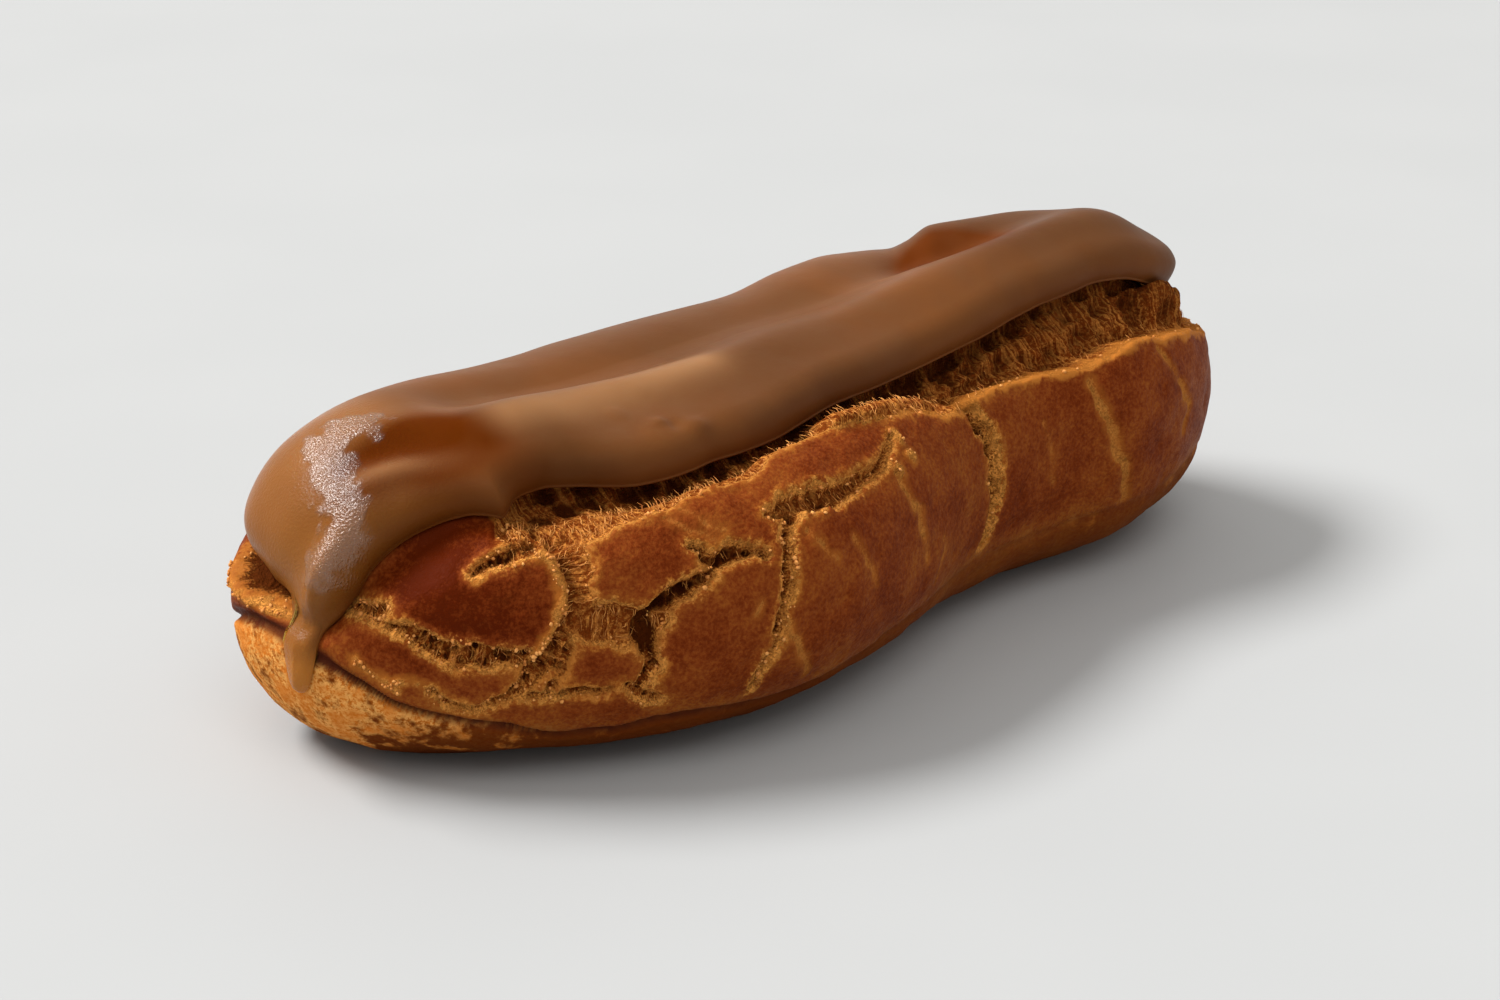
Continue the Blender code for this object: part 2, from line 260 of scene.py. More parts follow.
@dataclass
class EclairForm:
    """The eclair's smooth outer form, with the lines that divide it, as the solids have it."""

    BEND_STEPS = (-4.0, -2.0, 0.0, 2.0, 4.0)    # mm, read together to round a bend
    PLAN_SAMPLES = 721                          # headings in half a degree's steps
    SECTION_SAMPLES = 61                        # latitudes tried to space a section's rows

    near_length: float = 70.0
    far_length: float = 70.7
    near_round: float = 25.0
    far_round: float = 19.0
    base_sink: float = 2.0
    plan_power: float = 0.8
    section_power: float = 0.85
    icing_thickness: float = 3.5
    layer_gap: float = 0.4
    front_half_width: Stations = default({
        -70: 30.0, -52: 34.5, -26: 37.5, 0: 30.6, 14: 25.2, 26: 23.7, 42: 27.5, 58: 28.5, 70: 29.0})
    back_half_width: Stations = default({
        -70: 24.0, -26: 23.5, 8: 23.5, 22: 25.0, 42: 25.5, 70: 25.5})
    height: Stations = default({
        -70: 39.5, -52: 38.0, -26: 36.0, 8: 36.6, 22: 38.0, 42: 39.8, 54: 40.2, 62: 39.0, 70: 38.2})
    belly_height: Stations = default({
        -70: 15.0, -52: 16.0, -26: 17.0, 26: 18.0, 58: 18.0, 70: 17.0})
    seam_latitude: Stations = default({
        0: 2, 3.6: 1.7, 6.5: 0.7, 12.7: -1, 16: -3, 20: -6, 25: -12, 30: -16, 34.5: -20, 42: -25,
        48: -31, 54: -31, 62: -27, 72: -31.5, 92: -24, 130: -20, 180: -13, 230: -16, 290: -20,
        335: -8, 352: 1, 360: 2})
    lip_latitude: Stations = default({
        0: 9, 3: 6.2, 4.4: 4.4, 4.8: 2.6, 5.05: 0, 5.25: -3, 5.45: -6, 5.65: -8.4, 5.9: -10.2,
        6.3: -11.7, 7.1: -12.5, 7.7: -12.9, 8.3: -12.6, 8.8: -11.8, 9.3: -10.5, 9.7: -9.6,
        10.3: -7.5, 11.1: -3.5, 11.8: 0.5, 12.3: 4, 13.4: 5.8, 14.6: 7.5, 17.7: 15.5, 19.4: 20.5,
        22.2: 26.5, 26.5: 33.5, 32.7: 40.5,
        36.3: 42.5, 38.5: 42.3, 40.2: 41.6, 41: 43, 41.9: 48, 43: 50, 44.5: 51.5, 47.8: 53.5, 51.8: 53.5,
        55.6: 52.8, 59.2: 52.3, 63.2: 53.2, 67.3: 54.8, 71.6: 56.7, 75.6: 56.8, 79.7: 57, 84.1: 58.2,
        88.8: 59.3, 91.6: 58, 96: 56.3, 101.5: 54.8, 107: 54.3, 114: 57, 121: 59, 130.5: 59, 141: 54,
        151: 45, 165: 36, 180: 34, 200: 35, 225: 38, 250: 44, 275: 36, 300: 40, 325: 27,
        336: 19, 345: 14, 354: 12, 357: 11, 360: 9})
    rim_latitude: Stations = default({
        0: 9.5, 6: 8, 12: 9, 17: 14, 22: 23, 28: 31, 38: 42, 42: 33, 48: 31, 55: 37, 61: 41,
        67: 45.5, 73: 47, 76: 52, 82: 52, 86: 50, 89: 47, 92: 42, 96: 34.5, 100: 36, 106: 33.5,
        114: 31, 120: 32.5, 126: 34, 134: 29.2, 141: 28, 147: 24, 153: 22, 165: 21, 180: 22, 200: 28,
        225: 33, 250: 38, 275: 31, 300: 35, 325: 22, 336: 17, 345: 13, 354: 11.3, 360: 9.5})
    rim_slope: Stations = default({
        0: 6.5, 6: 7, 12: 8, 17: 11, 22: 18, 36: 24, 43: 6, 60: 5, 95: 6, 150: 6, 180: 8, 230: 14,
        300: 14, 336: 9, 345: 6, 354: 5.5, 360: 6.5})
    shift: Array = field(default_factory=lambda: np.zeros(3))

    def settle_on(self, low: Vector, high: Vector) -> None:
        """Slide the form so that its far end and its back meet the crust solid's.

        Args:
            low: the solid's lowest corner, in metres.
            high: the solid's highest corner, in metres.
        """
        heading = np.linspace(0.0, FULL_TURN, self.PLAN_SAMPLES)
        belly = self.point(heading, np.zeros_like(heading))
        middle_y = (belly[:, 1].max() + belly[:, 1].min()) / 2
        self.shift[0] = high.x / MM - belly[:, 0].max()
        self.shift[1] = (low.y + high.y) / 2 / MM - middle_y

    def _smooth(self, stations: Stations, x: Array) -> Array:
        """Read stations along the length with their bends rounded off."""
        return sum(read_at(stations, x + step) for step in self.BEND_STEPS) / len(self.BEND_STEPS)

    def point(self, heading: Array, latitude: Array) -> Array:
        """Places on the form in mm.

        Args:
            heading: degrees round the plan.
            latitude: degrees up the section.

        Returns:
            Points with x, y and z on the last axis.
        """
        around = np.radians(heading)
        up = np.radians(latitude)
        along = -signed_power(np.cos(around), self.plan_power)
        aside = -signed_power(np.sin(around), self.plan_power)
        spread = np.abs(np.cos(up)) ** self.section_power
        rise = signed_power(np.sin(up), self.section_power)
        end_round = np.where(along < 0.0, self.near_round, self.far_round)
        half_length = np.where(along < 0.0, self.near_length, self.far_length)
        x = (half_length - end_round * (1.0 - spread)) * along
        front = self._smooth(self.front_half_width, x)
        back = self._smooth(self.back_half_width, x)
        y = np.where(aside < 0.0, front, back) * spread * aside
        belly = self._smooth(self.belly_height, x)
        above = belly + (self._smooth(self.height, x) - belly) * rise
        below = np.maximum(belly + (belly + self.base_sink) * rise, 0.0)
        return np.stack([x, y, np.where(rise > 0.0, above, below)], axis=-1) + self.shift

    def outward(self, heading: Array, latitude: Array) -> Array:
        """Unit vectors that point out of the form.

        Args:
            heading: degrees round the plan.
            latitude: degrees up the section.

        Returns:
            The vectors, with x, y and z on the last axis.
        """
        step = 0.4
        low = np.maximum(latitude - step, -POLE)
        high = np.minimum(latitude + step, POLE)
        across = self.point(heading + step, latitude) - self.point(heading - step, latitude)
        upward = self.point(heading, high) - self.point(heading, low)
        return unit(np.cross(across, upward))

    def base_latitude(self, heading: Array) -> Array:
        """The latitude at which the round side meets the flat base.

        Args:
            heading: degrees round the plan.

        Returns:
            The latitude at each heading.
        """
        belly_x = self.point(heading, np.zeros_like(heading))[..., 0] - self.shift[0]
        belly = read_at(self.belly_height, belly_x)
        share = (belly / (belly + self.base_sink)) ** (1.0 / self.section_power)
        return -np.degrees(np.arcsin(share))

    def even_headings(self, columns: int, focus: Stations) -> Array:
        """Headings that step evenly round the belly but closer where the work is fine.

        Args:
            columns: how many, an even number.
            focus: how close together they stand at each heading, against 1.

        Returns:
            The headings from 0 up to just under 360, mirrored from front to back.
        """
        fine = np.linspace(0.0, HALF_TURN, 2 * self.PLAN_SAMPLES - 1)
        belly = self.point(fine, np.zeros_like(fine))
        steps = np.linalg.norm(np.diff(belly, axis=0), axis=-1) * read_at(focus, fine[:-1])
        run = np.concatenate([[0.0], np.cumsum(steps)])
        half = np.interp(np.linspace(0.0, run[-1], columns // 2 + 1), run, fine)
        return np.concatenate([half, FULL_TURN - half[-2:0:-1]])

    def even_latitudes(self, heading: Array, low: Array, high: Array,
                       rows: int) -> Array:
        """Latitudes that step evenly up each section.

        Args:
            heading: one for each section.
            low: the lowest latitude of each section.
            high: the highest latitude of each section.
            rows: how many latitudes each section gets.

        Returns:
            Latitudes, rows by headings.
        """
        share = np.linspace(0.0, 1.0, self.SECTION_SAMPLES)[:, None]
        fine = low + (high - low) * share
        points = self.point(np.broadcast_to(heading, fine.shape), fine)
        steps = np.linalg.norm(np.diff(points, axis=0), axis=-1)
        run = np.concatenate([np.zeros((1, len(heading))), np.cumsum(steps, axis=0)])
        wanted = np.linspace(0.0, 1.0, rows)
        columns = [np.interp(wanted * run[-1, k], run[:, k], fine[:, k]) for k in range(len(heading))]
        return np.stack(columns, axis=1)


@dataclass
class RingBody:
    """A closed mesh made of rings of points, each ring running once round the plan."""

    name: str
    points: Array              # rows, columns, xyz in mm
    row_share: Array           # where each row lies on the map, 0 to 1
    marks: dict[str, Array]    # named values for the finish, rows by columns
    map_gap: float = 0.015     # left free round each strip of the map
    cap_height: float = 0.7    # of a cap on the map, in gaps
    cap_room: float = 0.8      # from the top cap's foot to the map's border, in gaps

    def _faces(self) -> list[tuple[int, ...]]:
        """Join the rings, then join front to back with a cap at each end.

        Returns:
            The faces, by point number.
        """
        rows, columns = self.points.shape[:2]
        half = columns // 2
        faces: list[tuple[int, ...]] = []
        for row in range(rows - 1):
            here = row * columns
            above = here + columns
            for k in range(columns):
                nxt = (k + 1) % columns
                faces.append((here + k, here + nxt, above + nxt, above + k))
        for row, upward in ((0, False), (rows - 1, True)):
            start = row * columns
            for k in range(half):
                corners = [k, k + 1, columns - k - 1, (columns - k) % columns]
                ring = list(dict.fromkeys(start + c for c in corners))
                faces.append(tuple(ring if upward else reversed(ring)))
        return faces

    def _map(self, faces: list[tuple[int, ...]]) -> Array:
        """Lay every face on the flat map; front and back have a strip each.

        Args:
            faces: the faces, in the order in which they were made.

        Returns:
            One pair of coordinates for each corner of each face.
        """
        rows, columns = self.points.shape[:2]
        half = columns // 2
        strip = 0.5 - 2.0 * self.map_gap
        places: list[Pair] = []
        body_faces = (rows - 1) * columns
        for number, face in enumerate(faces):
            if number < body_faces:
                on_back = number % columns >= half
                for corner in face:
                    row, column = divmod(corner, columns)
                    if on_back:
                        column = half if column == 0 else column - half
                    start = self.map_gap + 0.5 * on_back
                    places.append((column / half, start + strip * self.row_share[row]))
            else:
                level = 0.0 if number < body_faces + half else 1.0 - self.map_gap * self.cap_room
                for corner in face:
                    column = corner % columns
                    far = column > half
                    column = columns - column if far else column
                    places.append((column / half, level + self.map_gap * self.cap_height * far))
        return np.array(places, np.float32)

    def build(self) -> bpy.types.Object:
        """Make the mesh object, with its map and its marks.

        Returns:
            The new object, linked to the scene.
        """
        faces = self._faces()
        mesh = bpy.data.meshes.new(self.name)
        mesh.from_pydata((self.points.reshape(-1, 3) * MM).tolist(), [], faces)
        mesh.shade_smooth()
        layer = mesh.uv_layers.new(name="OFBake")
        layer.data.foreach_set("uv", self._map(faces).ravel())
        for mark, values in self.marks.items():
            attribute = mesh.attributes.new(mark, "FLOAT", "POINT")
            attribute.data.foreach_set("value", values.astype(np.float32).ravel())
        mesh.update()
        piece = bpy.data.objects.new(self.name, mesh)
        bpy.context.scene.collection.objects.link(piece)
        return piece


# ---- cracks


@dataclass
class Crack:
    """One crack in the crust, as a line of places on one side of the eclair.

    A place is (mm along the side or across the tip, mm up, mm wide).  The depth is in mm.  A lean
    above 0 makes the crack deepest on its right as one goes along it seen from inside; below 0, on
    its left.
    """

    side: Side
    places: tuple[Triple, ...]
    opening: Opening = Opening.SPLIT
    depth: float = 1.2
    lean: float = 0.0
    pale: float = 0.5


def crust_cracks() -> list[Crack]:
    """List the cracks of this eclair.

    Returns:
        The cracks, from the near end to the far end, then round the back and at the far tip.
    """
    front, back, near, far = Side.FRONT, Side.BACK, Side.NEAR_TIP, Side.FAR_TIP
    line, split, pocked, torn = Opening.LINE, Opening.SPLIT, Opening.POCKED, Opening.TORN
    fringe, hole = Opening.FRINGE, Opening.HOLE
    return [
        # near tip: the torn pale edge of a flap and the hollow over it
        Crack(near, ((10.5, 21.8, 1.8), (8.6, 21.3, 2.6), (6.4, 20.7, 2.6), (4.4, 20.1, 2.2),
            (2.6, 19.7, 1.6), (0.6, 19.4, 1), (-1, 19.2, 0.6)), hole, 1.4, pale=0.0),
        Crack(near, ((9.4, 19.4, 0.5), (8, 18.9, 0.6), (6, 18.4, 0.6), (4.4, 18.1, 0.7), (2.4, 18.1, 0.7),
            (0.4, 18.1, 0.6), (-1.2, 18, 0.6), (-3.4, 18, 0.5), (-5.2, 18, 0.4)), fringe, 0.28, pale=1.0),
        # the big near plate: a grainy patch, a pocked strip, a pocked tear at its upper corner
        Crack(front, ((-67.6, 20.4, 0.9), (-66, 20.8, 1.4), (-64.6, 21.3, 1)), pocked, 0.25, pale=0.8),
        Crack(front, ((-66, 20.1, 0.6), (-64.4, 19.4, 0.9), (-62.8, 18.4, 1.6), (-61.2, 17.4, 2.3),
            (-59.5, 16.7, 2.6), (-57.6, 16.4, 2.4), (-55.8, 16.6, 1.9), (-54, 17, 1)),
            pocked, 0.8, -0.5, 0.9),
        Crack(front, ((-57.6, 25.4, 0.7), (-56.1, 26.3, 1.3), (-54.6, 27, 1.7), (-53.2, 27.4, 2),
            (-51.6, 27.6, 1.8)), pocked, 1, pale=0.9),
        Crack(front, ((-66.8, 15.5, 0.5), (-66.1, 14.7, 0.6), (-64.9, 13.2, 0.6), (-64.1, 12.4, 0.4)),
            fringe, 0.2, pale=1.0),
        Crack(front, ((-64.1, 13.6, 0.3), (-62.5, 13.2, 0.4)), fringe, 0.15, pale=1.0),
        Crack(front, ((-61.8, 12.6, 0.5), (-60.6, 11, 0.6), (-59.4, 10.3, 0.7), (-57.9, 10.1, 0.7),
            (-56.6, 11, 0.8), (-55.2, 11.8, 0.8), (-53, 11.7, 0.6), (-51, 11.6, 0.4)),
            split, 0.6, pale=1.0),
        # the big plate's far border, crumbly all the way down
        Crack(front, ((-51.9, 32.2, 0.8), (-52, 30.7, 1), (-52.2, 29.1, 1), (-51.5, 27.9, 1),
            (-50.3, 26.4, 0.9), (-50.2, 24.7, 0.8), (-49.9, 23.2, 1), (-50.9, 21.1, 1),
            (-51.3, 19.2, 0.8), (-52.3, 18, 0.7), (-53.3, 16.5, 0.7), (-54.6, 14.2, 0.7),
            (-55.6, 12.2, 0.5)), fringe, 0.3, pale=0.9),
        # the torn ground beyond it
        Crack(front, ((-49.9, 31, 2.4), (-48.9, 28, 3.2), (-48.3, 25, 3), (-48.8, 22.4, 2.6),
            (-49.6, 20.4, 2)), torn, 1.5, 0.9, 0.5),
        Crack(front, ((-50.6, 19.8, 1.4), (-51.3, 17.6, 1.8), (-52.2, 15.6, 2.6), (-53.6, 13.6, 2.3),
            (-55.4, 11.8, 0.9)), split, 1.2, 0.4, 0.3),
        Crack(front, ((-49.6, 20.2, 3.2), (-47.2, 19.5, 4.4), (-44.8, 18.8, 4.2), (-42.8, 19, 3),
            (-41.5, 20, 1.6)), torn, 0.9, pale=0.8),
        Crack(front, ((-42.9, 19.6, 2.2), (-42.8, 18, 3.2), (-42.7, 16.6, 2.4)), hole, 2.2),
        Crack(front, ((-42.3, 16, 1.3), (-42, 14.2, 1.7), (-42.6, 12.3, 1.4), (-43.3, 11.2, 0.7)),
            pocked, 1, pale=0.9),
        Crack(front, ((-50.4, 17, 1.1), (-51, 14.6, 1.4), (-51.8, 12.6, 0.9)), split, 0.8, pale=0.3),
        Crack(front, ((-50.6, 11.9, 0.5), (-49.3, 11.8, 1), (-47.8, 11.6, 0.9), (-45.8, 11.4, 0.5)),
            split, 1.3, pale=0.5),
        # two combs of pits that climb away from it
        Crack(front, ((-42.4, 20.2, 1.3), (-41, 21.3, 1.9), (-39.4, 22.1, 2.2), (-37.9, 22.8, 2),
            (-36.2, 23.3, 1.5), (-35, 23.6, 0.7)), pocked, 1.4, pale=0.7),
        Crack(front, ((-36.3, 26.4, 0.6), (-35.3, 25.2, 1.4), (-34, 24.8, 1.7), (-32.2, 25.2, 1.9),
            (-30.4, 25.1, 1.5), (-28.4, 24.1, 0.6)), pocked, 1.4, pale=0.8),
        Crack(front, ((-36.1, 25, 0.4), (-36, 23.8, 0.4)), line, 0.2),
        Crack(front, ((-37.5, 29.2, 0.4), (-35.6, 27.6, 0.5), (-33.6, 26.4, 0.3)), line, 0.25),
        Crack(front, ((-35.6, 29.4, 0.3), (-33.8, 28, 0.4), (-32, 27.2, 0.3)), line, 0.2),
        # the split down the swollen side and the wide one along its shoulder
        Crack(front, ((-23.6, 28.6, 1.3), (-24.5, 26.4, 1.5), (-25.5, 24.4, 1.4), (-26.5, 22.3, 1.3),
            (-27.2, 20, 1.3), (-27.7, 18, 1.2), (-27.9, 16.2, 1.3), (-28.4, 13.9, 0.9),
            (-29.6, 11.7, 0.7), (-29.9, 9, 0.3)), split, 1.3, -0.6, 1),
        Crack(front, ((-27.7, 16.8, 1), (-28.1, 15.7, 1.2)), hole, 1.5),
        Crack(front, ((-26.6, 16.2, 0.4), (-25.4, 14.4, 0.6), (-24.1, 12, 0.6), (-22.4, 9, 0.4)),
            line, 0.3, pale=0.8),
        Crack(front, ((-44.4, 11.7, 0.9), (-42.6, 10.6, 1.5), (-40.6, 9.3, 0.9)), pocked, 0.7, pale=0.9),
        Crack(front, ((-26.4, 28, 0.7), (-24.6, 28, 1.2), (-23, 27.4, 1.4)), pocked, 0.9, pale=0.8),
        Crack(front, ((-23.8, 28.1, 1.5), (-21.6, 28.3, 2.4), (-19.3, 28, 3), (-17, 27.8, 2.8),
            (-15, 27.9, 2.5), (-12.5, 27.8, 1.8), (-10, 28, 1.6), (-7.5, 28.2, 1.3), (-5, 28.8, 0.9),
            (-3.2, 29.6, 0.5)), torn, 1.2, pale=0.9),
        Crack(front, ((-2.7, 29.6, 1), (-2.3, 29.2, 0.9)), fringe, 0.55, pale=0.9),
        Crack(front, ((-1.7, 27.7, 0.9), (-1.3, 27.4, 0.8)), fringe, 0.5, pale=0.9),
        Crack(front, ((-4.9, 27.4, 0.9), (-4.4, 26.8, 1)), fringe, 0.4, pale=0.9),
        Crack(front, ((-19.5, 29, 0.7), (-18.9, 28, 1.1), (-18.2, 27.3, 0.9)), hole, 1.9),
        # the deep crescent at the waist
        Crack(front, ((12.4, 30, 1.7), (14.6, 26.8, 2.4), (15.8, 23.8, 2.5), (16.5, 20.5, 2.5),
            (16.4, 17, 2.2), (15.7, 14, 1.4), (14.4, 11, 0.6)), split, 2.6, pale=0.9),
        # soft golden stretch marks
        Crack(front, ((-5.4, 27, 0.8), (-4.8, 25.5, 0.8), (-3.8, 22.8, 0.9), (-2.5, 19.8, 0.8),
            (-1.2, 15.5, 0.4)), line, 0.3, pale=0.7),
        Crack(front, ((-22.7, 25.6, 0.6), (-19.7, 22.2, 0.3)), line, 0.25, pale=0.6),
        Crack(front, ((-16.3, 23.4, 0.4), (-14.6, 20.4, 0.5), (-13.1, 17.3, 0.3)), line, 0.25, pale=0.5),
        Crack(front, ((-30.4, 19.8, 0.3), (-30.9, 18.4, 0.3)), line, 0.2, pale=0.6),
        Crack(front, ((3.2, 17, 0.4), (3, 14.5, 0.5), (2, 11.8, 0.3)), line, 0.25, pale=0.5),
        Crack(front, ((34.1, 26.6, 1), (35, 23.6, 1.1), (37.2, 19.4, 1.2), (39.6, 15.4, 1.3),
            (40.4, 10.6, 1.1)), line, 0.55, pale=0.8),
        Crack(front, ((47.4, 28.3, 0.8), (51, 23.4, 0.9), (53.7, 19.6, 1), (52, 16.4, 0.7)),
            line, 0.4, pale=0.6),
        Crack(front, ((26, 24, 0.3), (27, 20, 0.4), (27.4, 16, 0.3)), line, 0.2, pale=0.35),
        # the back
        Crack(back, ((-48, 28, 1), (-46.5, 23, 1.7), (-47, 18, 1.5), (-44, 12.5, 0.7)), split, 1.4),
        Crack(back, ((-47, 19.5, 2), (-43, 20, 3), (-38, 18.8, 2.4), (-33.5, 20, 1)), torn, 1.1),
        Crack(back, ((-30, 28, 1.1), (-28.5, 24, 1.5), (-30, 18, 1.2), (-29, 12.5, 0.6)), split, 1.3),
        Crack(back, ((-28.4, 23.2, 1.6), (-22, 24.6, 2.3), (-16.5, 22.8, 1.8), (-12, 24, 0.8)),
            pocked, 1.3),
        Crack(back, ((-6, 29, 1.2), (-7, 25, 1.5), (-5, 20, 1.3), (-8, 15, 1.1), (-7, 11, 0.5)),
            split, 1.5),
        Crack(back, ((9, 30, 1.6), (8, 25, 2), (10, 20, 1.9), (9, 14, 1.3), (11, 10, 0.6)), split, 2),
        Crack(back, ((10, 21, 1.3), (15, 22, 1.8), (20, 20.6, 1.3), (24, 21.5, 0.6)), pocked, 1.1),
        Crack(back, ((27, 31, 1.1), (28, 26, 1), (27, 21, 0.5)), split, 1),
        Crack(back, ((40, 31, 1.5), (41, 26, 1.6), (39, 21, 1.4), (41, 16, 1.1), (40, 11, 0.6)),
            split, 1.6),
        Crack(back, ((41, 24, 1.4), (46, 23, 1.7), (51, 24.4, 1.2), (56, 23, 0.6)), pocked, 1.1),
        Crack(back, ((-57, 26, 0.5), (-56, 21, 0.8), (-58, 15, 0.5)), line, 0.3),
        Crack(back, ((-38, 28, 0.4), (-37, 24, 0.5)), line, 0.25),
        Crack(back, ((-18, 20, 0.5), (-19, 15, 0.8), (-17, 11, 0.4)), line, 0.3),
        Crack(back, ((2, 27, 0.4), (1, 22, 0.6), (3, 17, 0.4)), line, 0.3),
        Crack(back, ((33, 27, 0.5), (32, 21, 0.9), (34, 15, 0.6)), line, 0.35),
        Crack(back, ((50, 21, 0.4), (49, 16, 0.6), (51, 12, 0.4)), line, 0.3),
        # the far tip
        Crack(far, ((-9, 29, 1), (-6.5, 25, 1.4), (-8, 20, 1.2), (-5, 14, 0.6)), split, 1.2),
        Crack(far, ((6, 29, 1.2), (8, 24, 1.6), (6, 19, 1.3), (9, 14, 0.7)), split, 1.4),
        Crack(far, ((-6.4, 22, 1), (0, 21, 1.6), (6.4, 22.4, 1)), pocked, 1),
    ]


@dataclass
class CrackReading:
    """What the cracks are like at every point of the crust; each field has one value a point."""

    edge: Array       # mm from the nearest opening's edge, below 0 inside it
    line: Array       # mm from the nearest stretch mark or crumbly edge
    deep: Array       # mm that the crust is sunk
    raised: Array     # mm that a crumbly edge stands up
    along: Array      # mm along the nearest opening
    pale: Array       # how pale the nearest opening's edge is
    line_pale: Array  # how pale the nearest mark is
    pits: Array       # 1 in pocked openings
    fibre: Array      # 1 in torn ground
    hollow: Array     # 1 in holes
    across: Array     # unit vectors across the nearest opening


@dataclass
class CrackField:
    """All the cracks, laid on the form."""

    form: EclairForm
    cracks: list[Crack]
    points: Array                # the form's points in mm, rows by columns
    outward: Array               # the unit vectors out of the form there
    heading: Array
    jag: float = 0.28            # mm that a path strays at each step
    step_length: float = 1.3     # mm from one step of a path to the next
    ragged: float = 0.42         # mm that an edge is uneven
    ragged_size: float = 1.9     # mm wide, the largest of its jags
    reach: float = 6.0           # mm round a crack in which it is felt
    run_apart: float = 17.0      # mm along the grain from one crack's start to the next one's
    tip_clear: float = 4.0       # degrees that the cracks of a side keep from the tips
    tip_start: float = 48.0      # mm from the middle to where a tip begins
    opening_edge: Pair = (0.18, -0.42)    # mm from the edge: untouched, fully open
    mark_edge: Pair = (0.35, -0.30)       # mm from the edge: untouched, fully marked
    seed: int = 11

    def __post_init__(self) -> None:
        """Start with no crack near any point."""
        count = self.heading.size
        far_off = [np.full(count, NONE_NEAR) for _ in range(2)]
        zeros = [np.zeros(count) for _ in range(8)]
        self.reading = CrackReading(*far_off, *zeros, np.zeros((count, 3)))

    def _anchor(self, side: Side, place: Triple) -> Array:
        """Find a place of a side on the form.

        Args:
            side: the side.
            place: mm along or across it, mm up, mm wide.

        Returns:
            The form's point that is nearest to the place.
        """
        axis = 0 if side in (Side.FRONT, Side.BACK) else 1
        clear, heading = self.tip_clear, self.heading
        local = self.points - self.form.shift
        allowed = {
            Side.FRONT: (heading > clear) & (heading < HALF_TURN - clear),
            Side.BACK: (heading > HALF_TURN + clear) & (heading < FULL_TURN - clear),
            Side.NEAR_TIP: local[..., 0] < -self.tip_start,
            Side.FAR_TIP: local[..., 0] > self.tip_start,
        }[side]
        miss = (local[..., axis] - place[0]) ** 2 + (local[..., 2] - place[1]) ** 2
        nearest = np.argmin(np.where(allowed, miss, np.inf))
        return self.points[np.unravel_index(nearest, miss.shape)]

    def _path(self, crack: Crack, generator: np.random.Generator) -> tuple[Array, Array]:
        """Draw a jagged path through a crack's places.

        Args:
            crack: the crack.
            generator: where the jags are drawn from.

        Returns:
            The path's corners, and its half width at each.
        """
        anchors = np.array([self._anchor(crack.side, place) for place in crack.places])
        halves = np.array([width / 2 for _, _, width in crack.places])
        path, half = [anchors[0]], [halves[0]]
        for k in range(len(anchors) - 1):
            stretch = float(np.linalg.norm(anchors[k + 1] - anchors[k]))
            steps = max(1, round(stretch / self.step_length))
            for step in range(1, steps + 1):
                share = step / steps
                jog = generator.normal(0.0, self.jag, 3) * (step < steps)
                path.append(anchors[k] + (anchors[k + 1] - anchors[k]) * share + jog)
                half.append(halves[k] + (halves[k + 1] - halves[k]) * share)
        return np.array(path), np.array(half)

    @staticmethod
    def _measure(path: Array, half: Array, run: float, spot: Array,
                 out: Array) -> tuple[Array, ...]:
        """Measure points against a crack's path.

        Args:
            path: the path's corners.
            half: its half width at each corner.
            run: mm along the grain at which the path starts.
            spot: the points.
            out: the unit vectors out of the form at the points.

        Returns:
            For each point: mm from the edge, mm along the grain, how far aside in half widths, the
            half width in mm and the unit vector across the path.
        """
        count = len(spot)
        gap = np.full(count, np.inf)
        run_at, aside, wide = np.zeros(count), np.zeros(count), np.ones(count)
        lateral = np.zeros((count, 3))
        for k in range(len(path) - 1):
            step = path[k + 1] - path[k]
            length = float(np.linalg.norm(step))
            offset = spot - path[k]
            t = np.clip(offset @ step / max(length**2, 1e-9), 0.0, 1.0)
            distance = np.linalg.norm(offset - t[:, None] * step, axis=1)
            width = half[k] + t * (half[k + 1] - half[k])
            signed = distance - width
            better = signed < gap
            sideways = unit(np.cross(step / max(length, 1e-9), out))
            hand = np.sign(np.sum(sideways * offset, axis=1))
            gap = np.where(better, signed, gap)
            run_at = np.where(better, run + t * length, run_at)
            aside = np.where(better, hand * distance / np.maximum(width, 0.1), aside)
            wide = np.where(better, width, wide)
            lateral = np.where(better[:, None], sideways, lateral)
            run += length
        return gap, run_at, aside, wide, lateral

    def read(self) -> CrackReading:
        """Read the cracks at every point of the crust.

        Returns:
            The reading, in the shape of the points.
        """
        generator = np.random.default_rng(self.seed)
        flat = self.points.reshape(-1, 3)
        normal = self.outward.reshape(-1, 3)
        rough = self.ragged * GrainNoise(self.seed).layered(flat, self.ragged_size, 2, 0.6)
        for number, crack in enumerate(self.cracks):
            path, half = self._path(crack, generator)
            low, high = path.min(axis=0) - self.reach, path.max(axis=0) + self.reach
            near = np.nonzero(np.all((flat > low) & (flat < high), axis=1))[0]
            gap, run_at, aside, wide, lateral = self._measure(
                path, half, self.run_apart * number, flat[near], normal[near])
            gap = gap + rough[near] * np.clip(0.35 + wide * 0.5, 0.4, 1.0)
            self._note(crack, near, gap, run_at, aside, lateral)
        for name, values in vars(self.reading).items():
            setattr(self.reading, name, values.reshape(*self.heading.shape, *values.shape[1:]))
        return self.reading

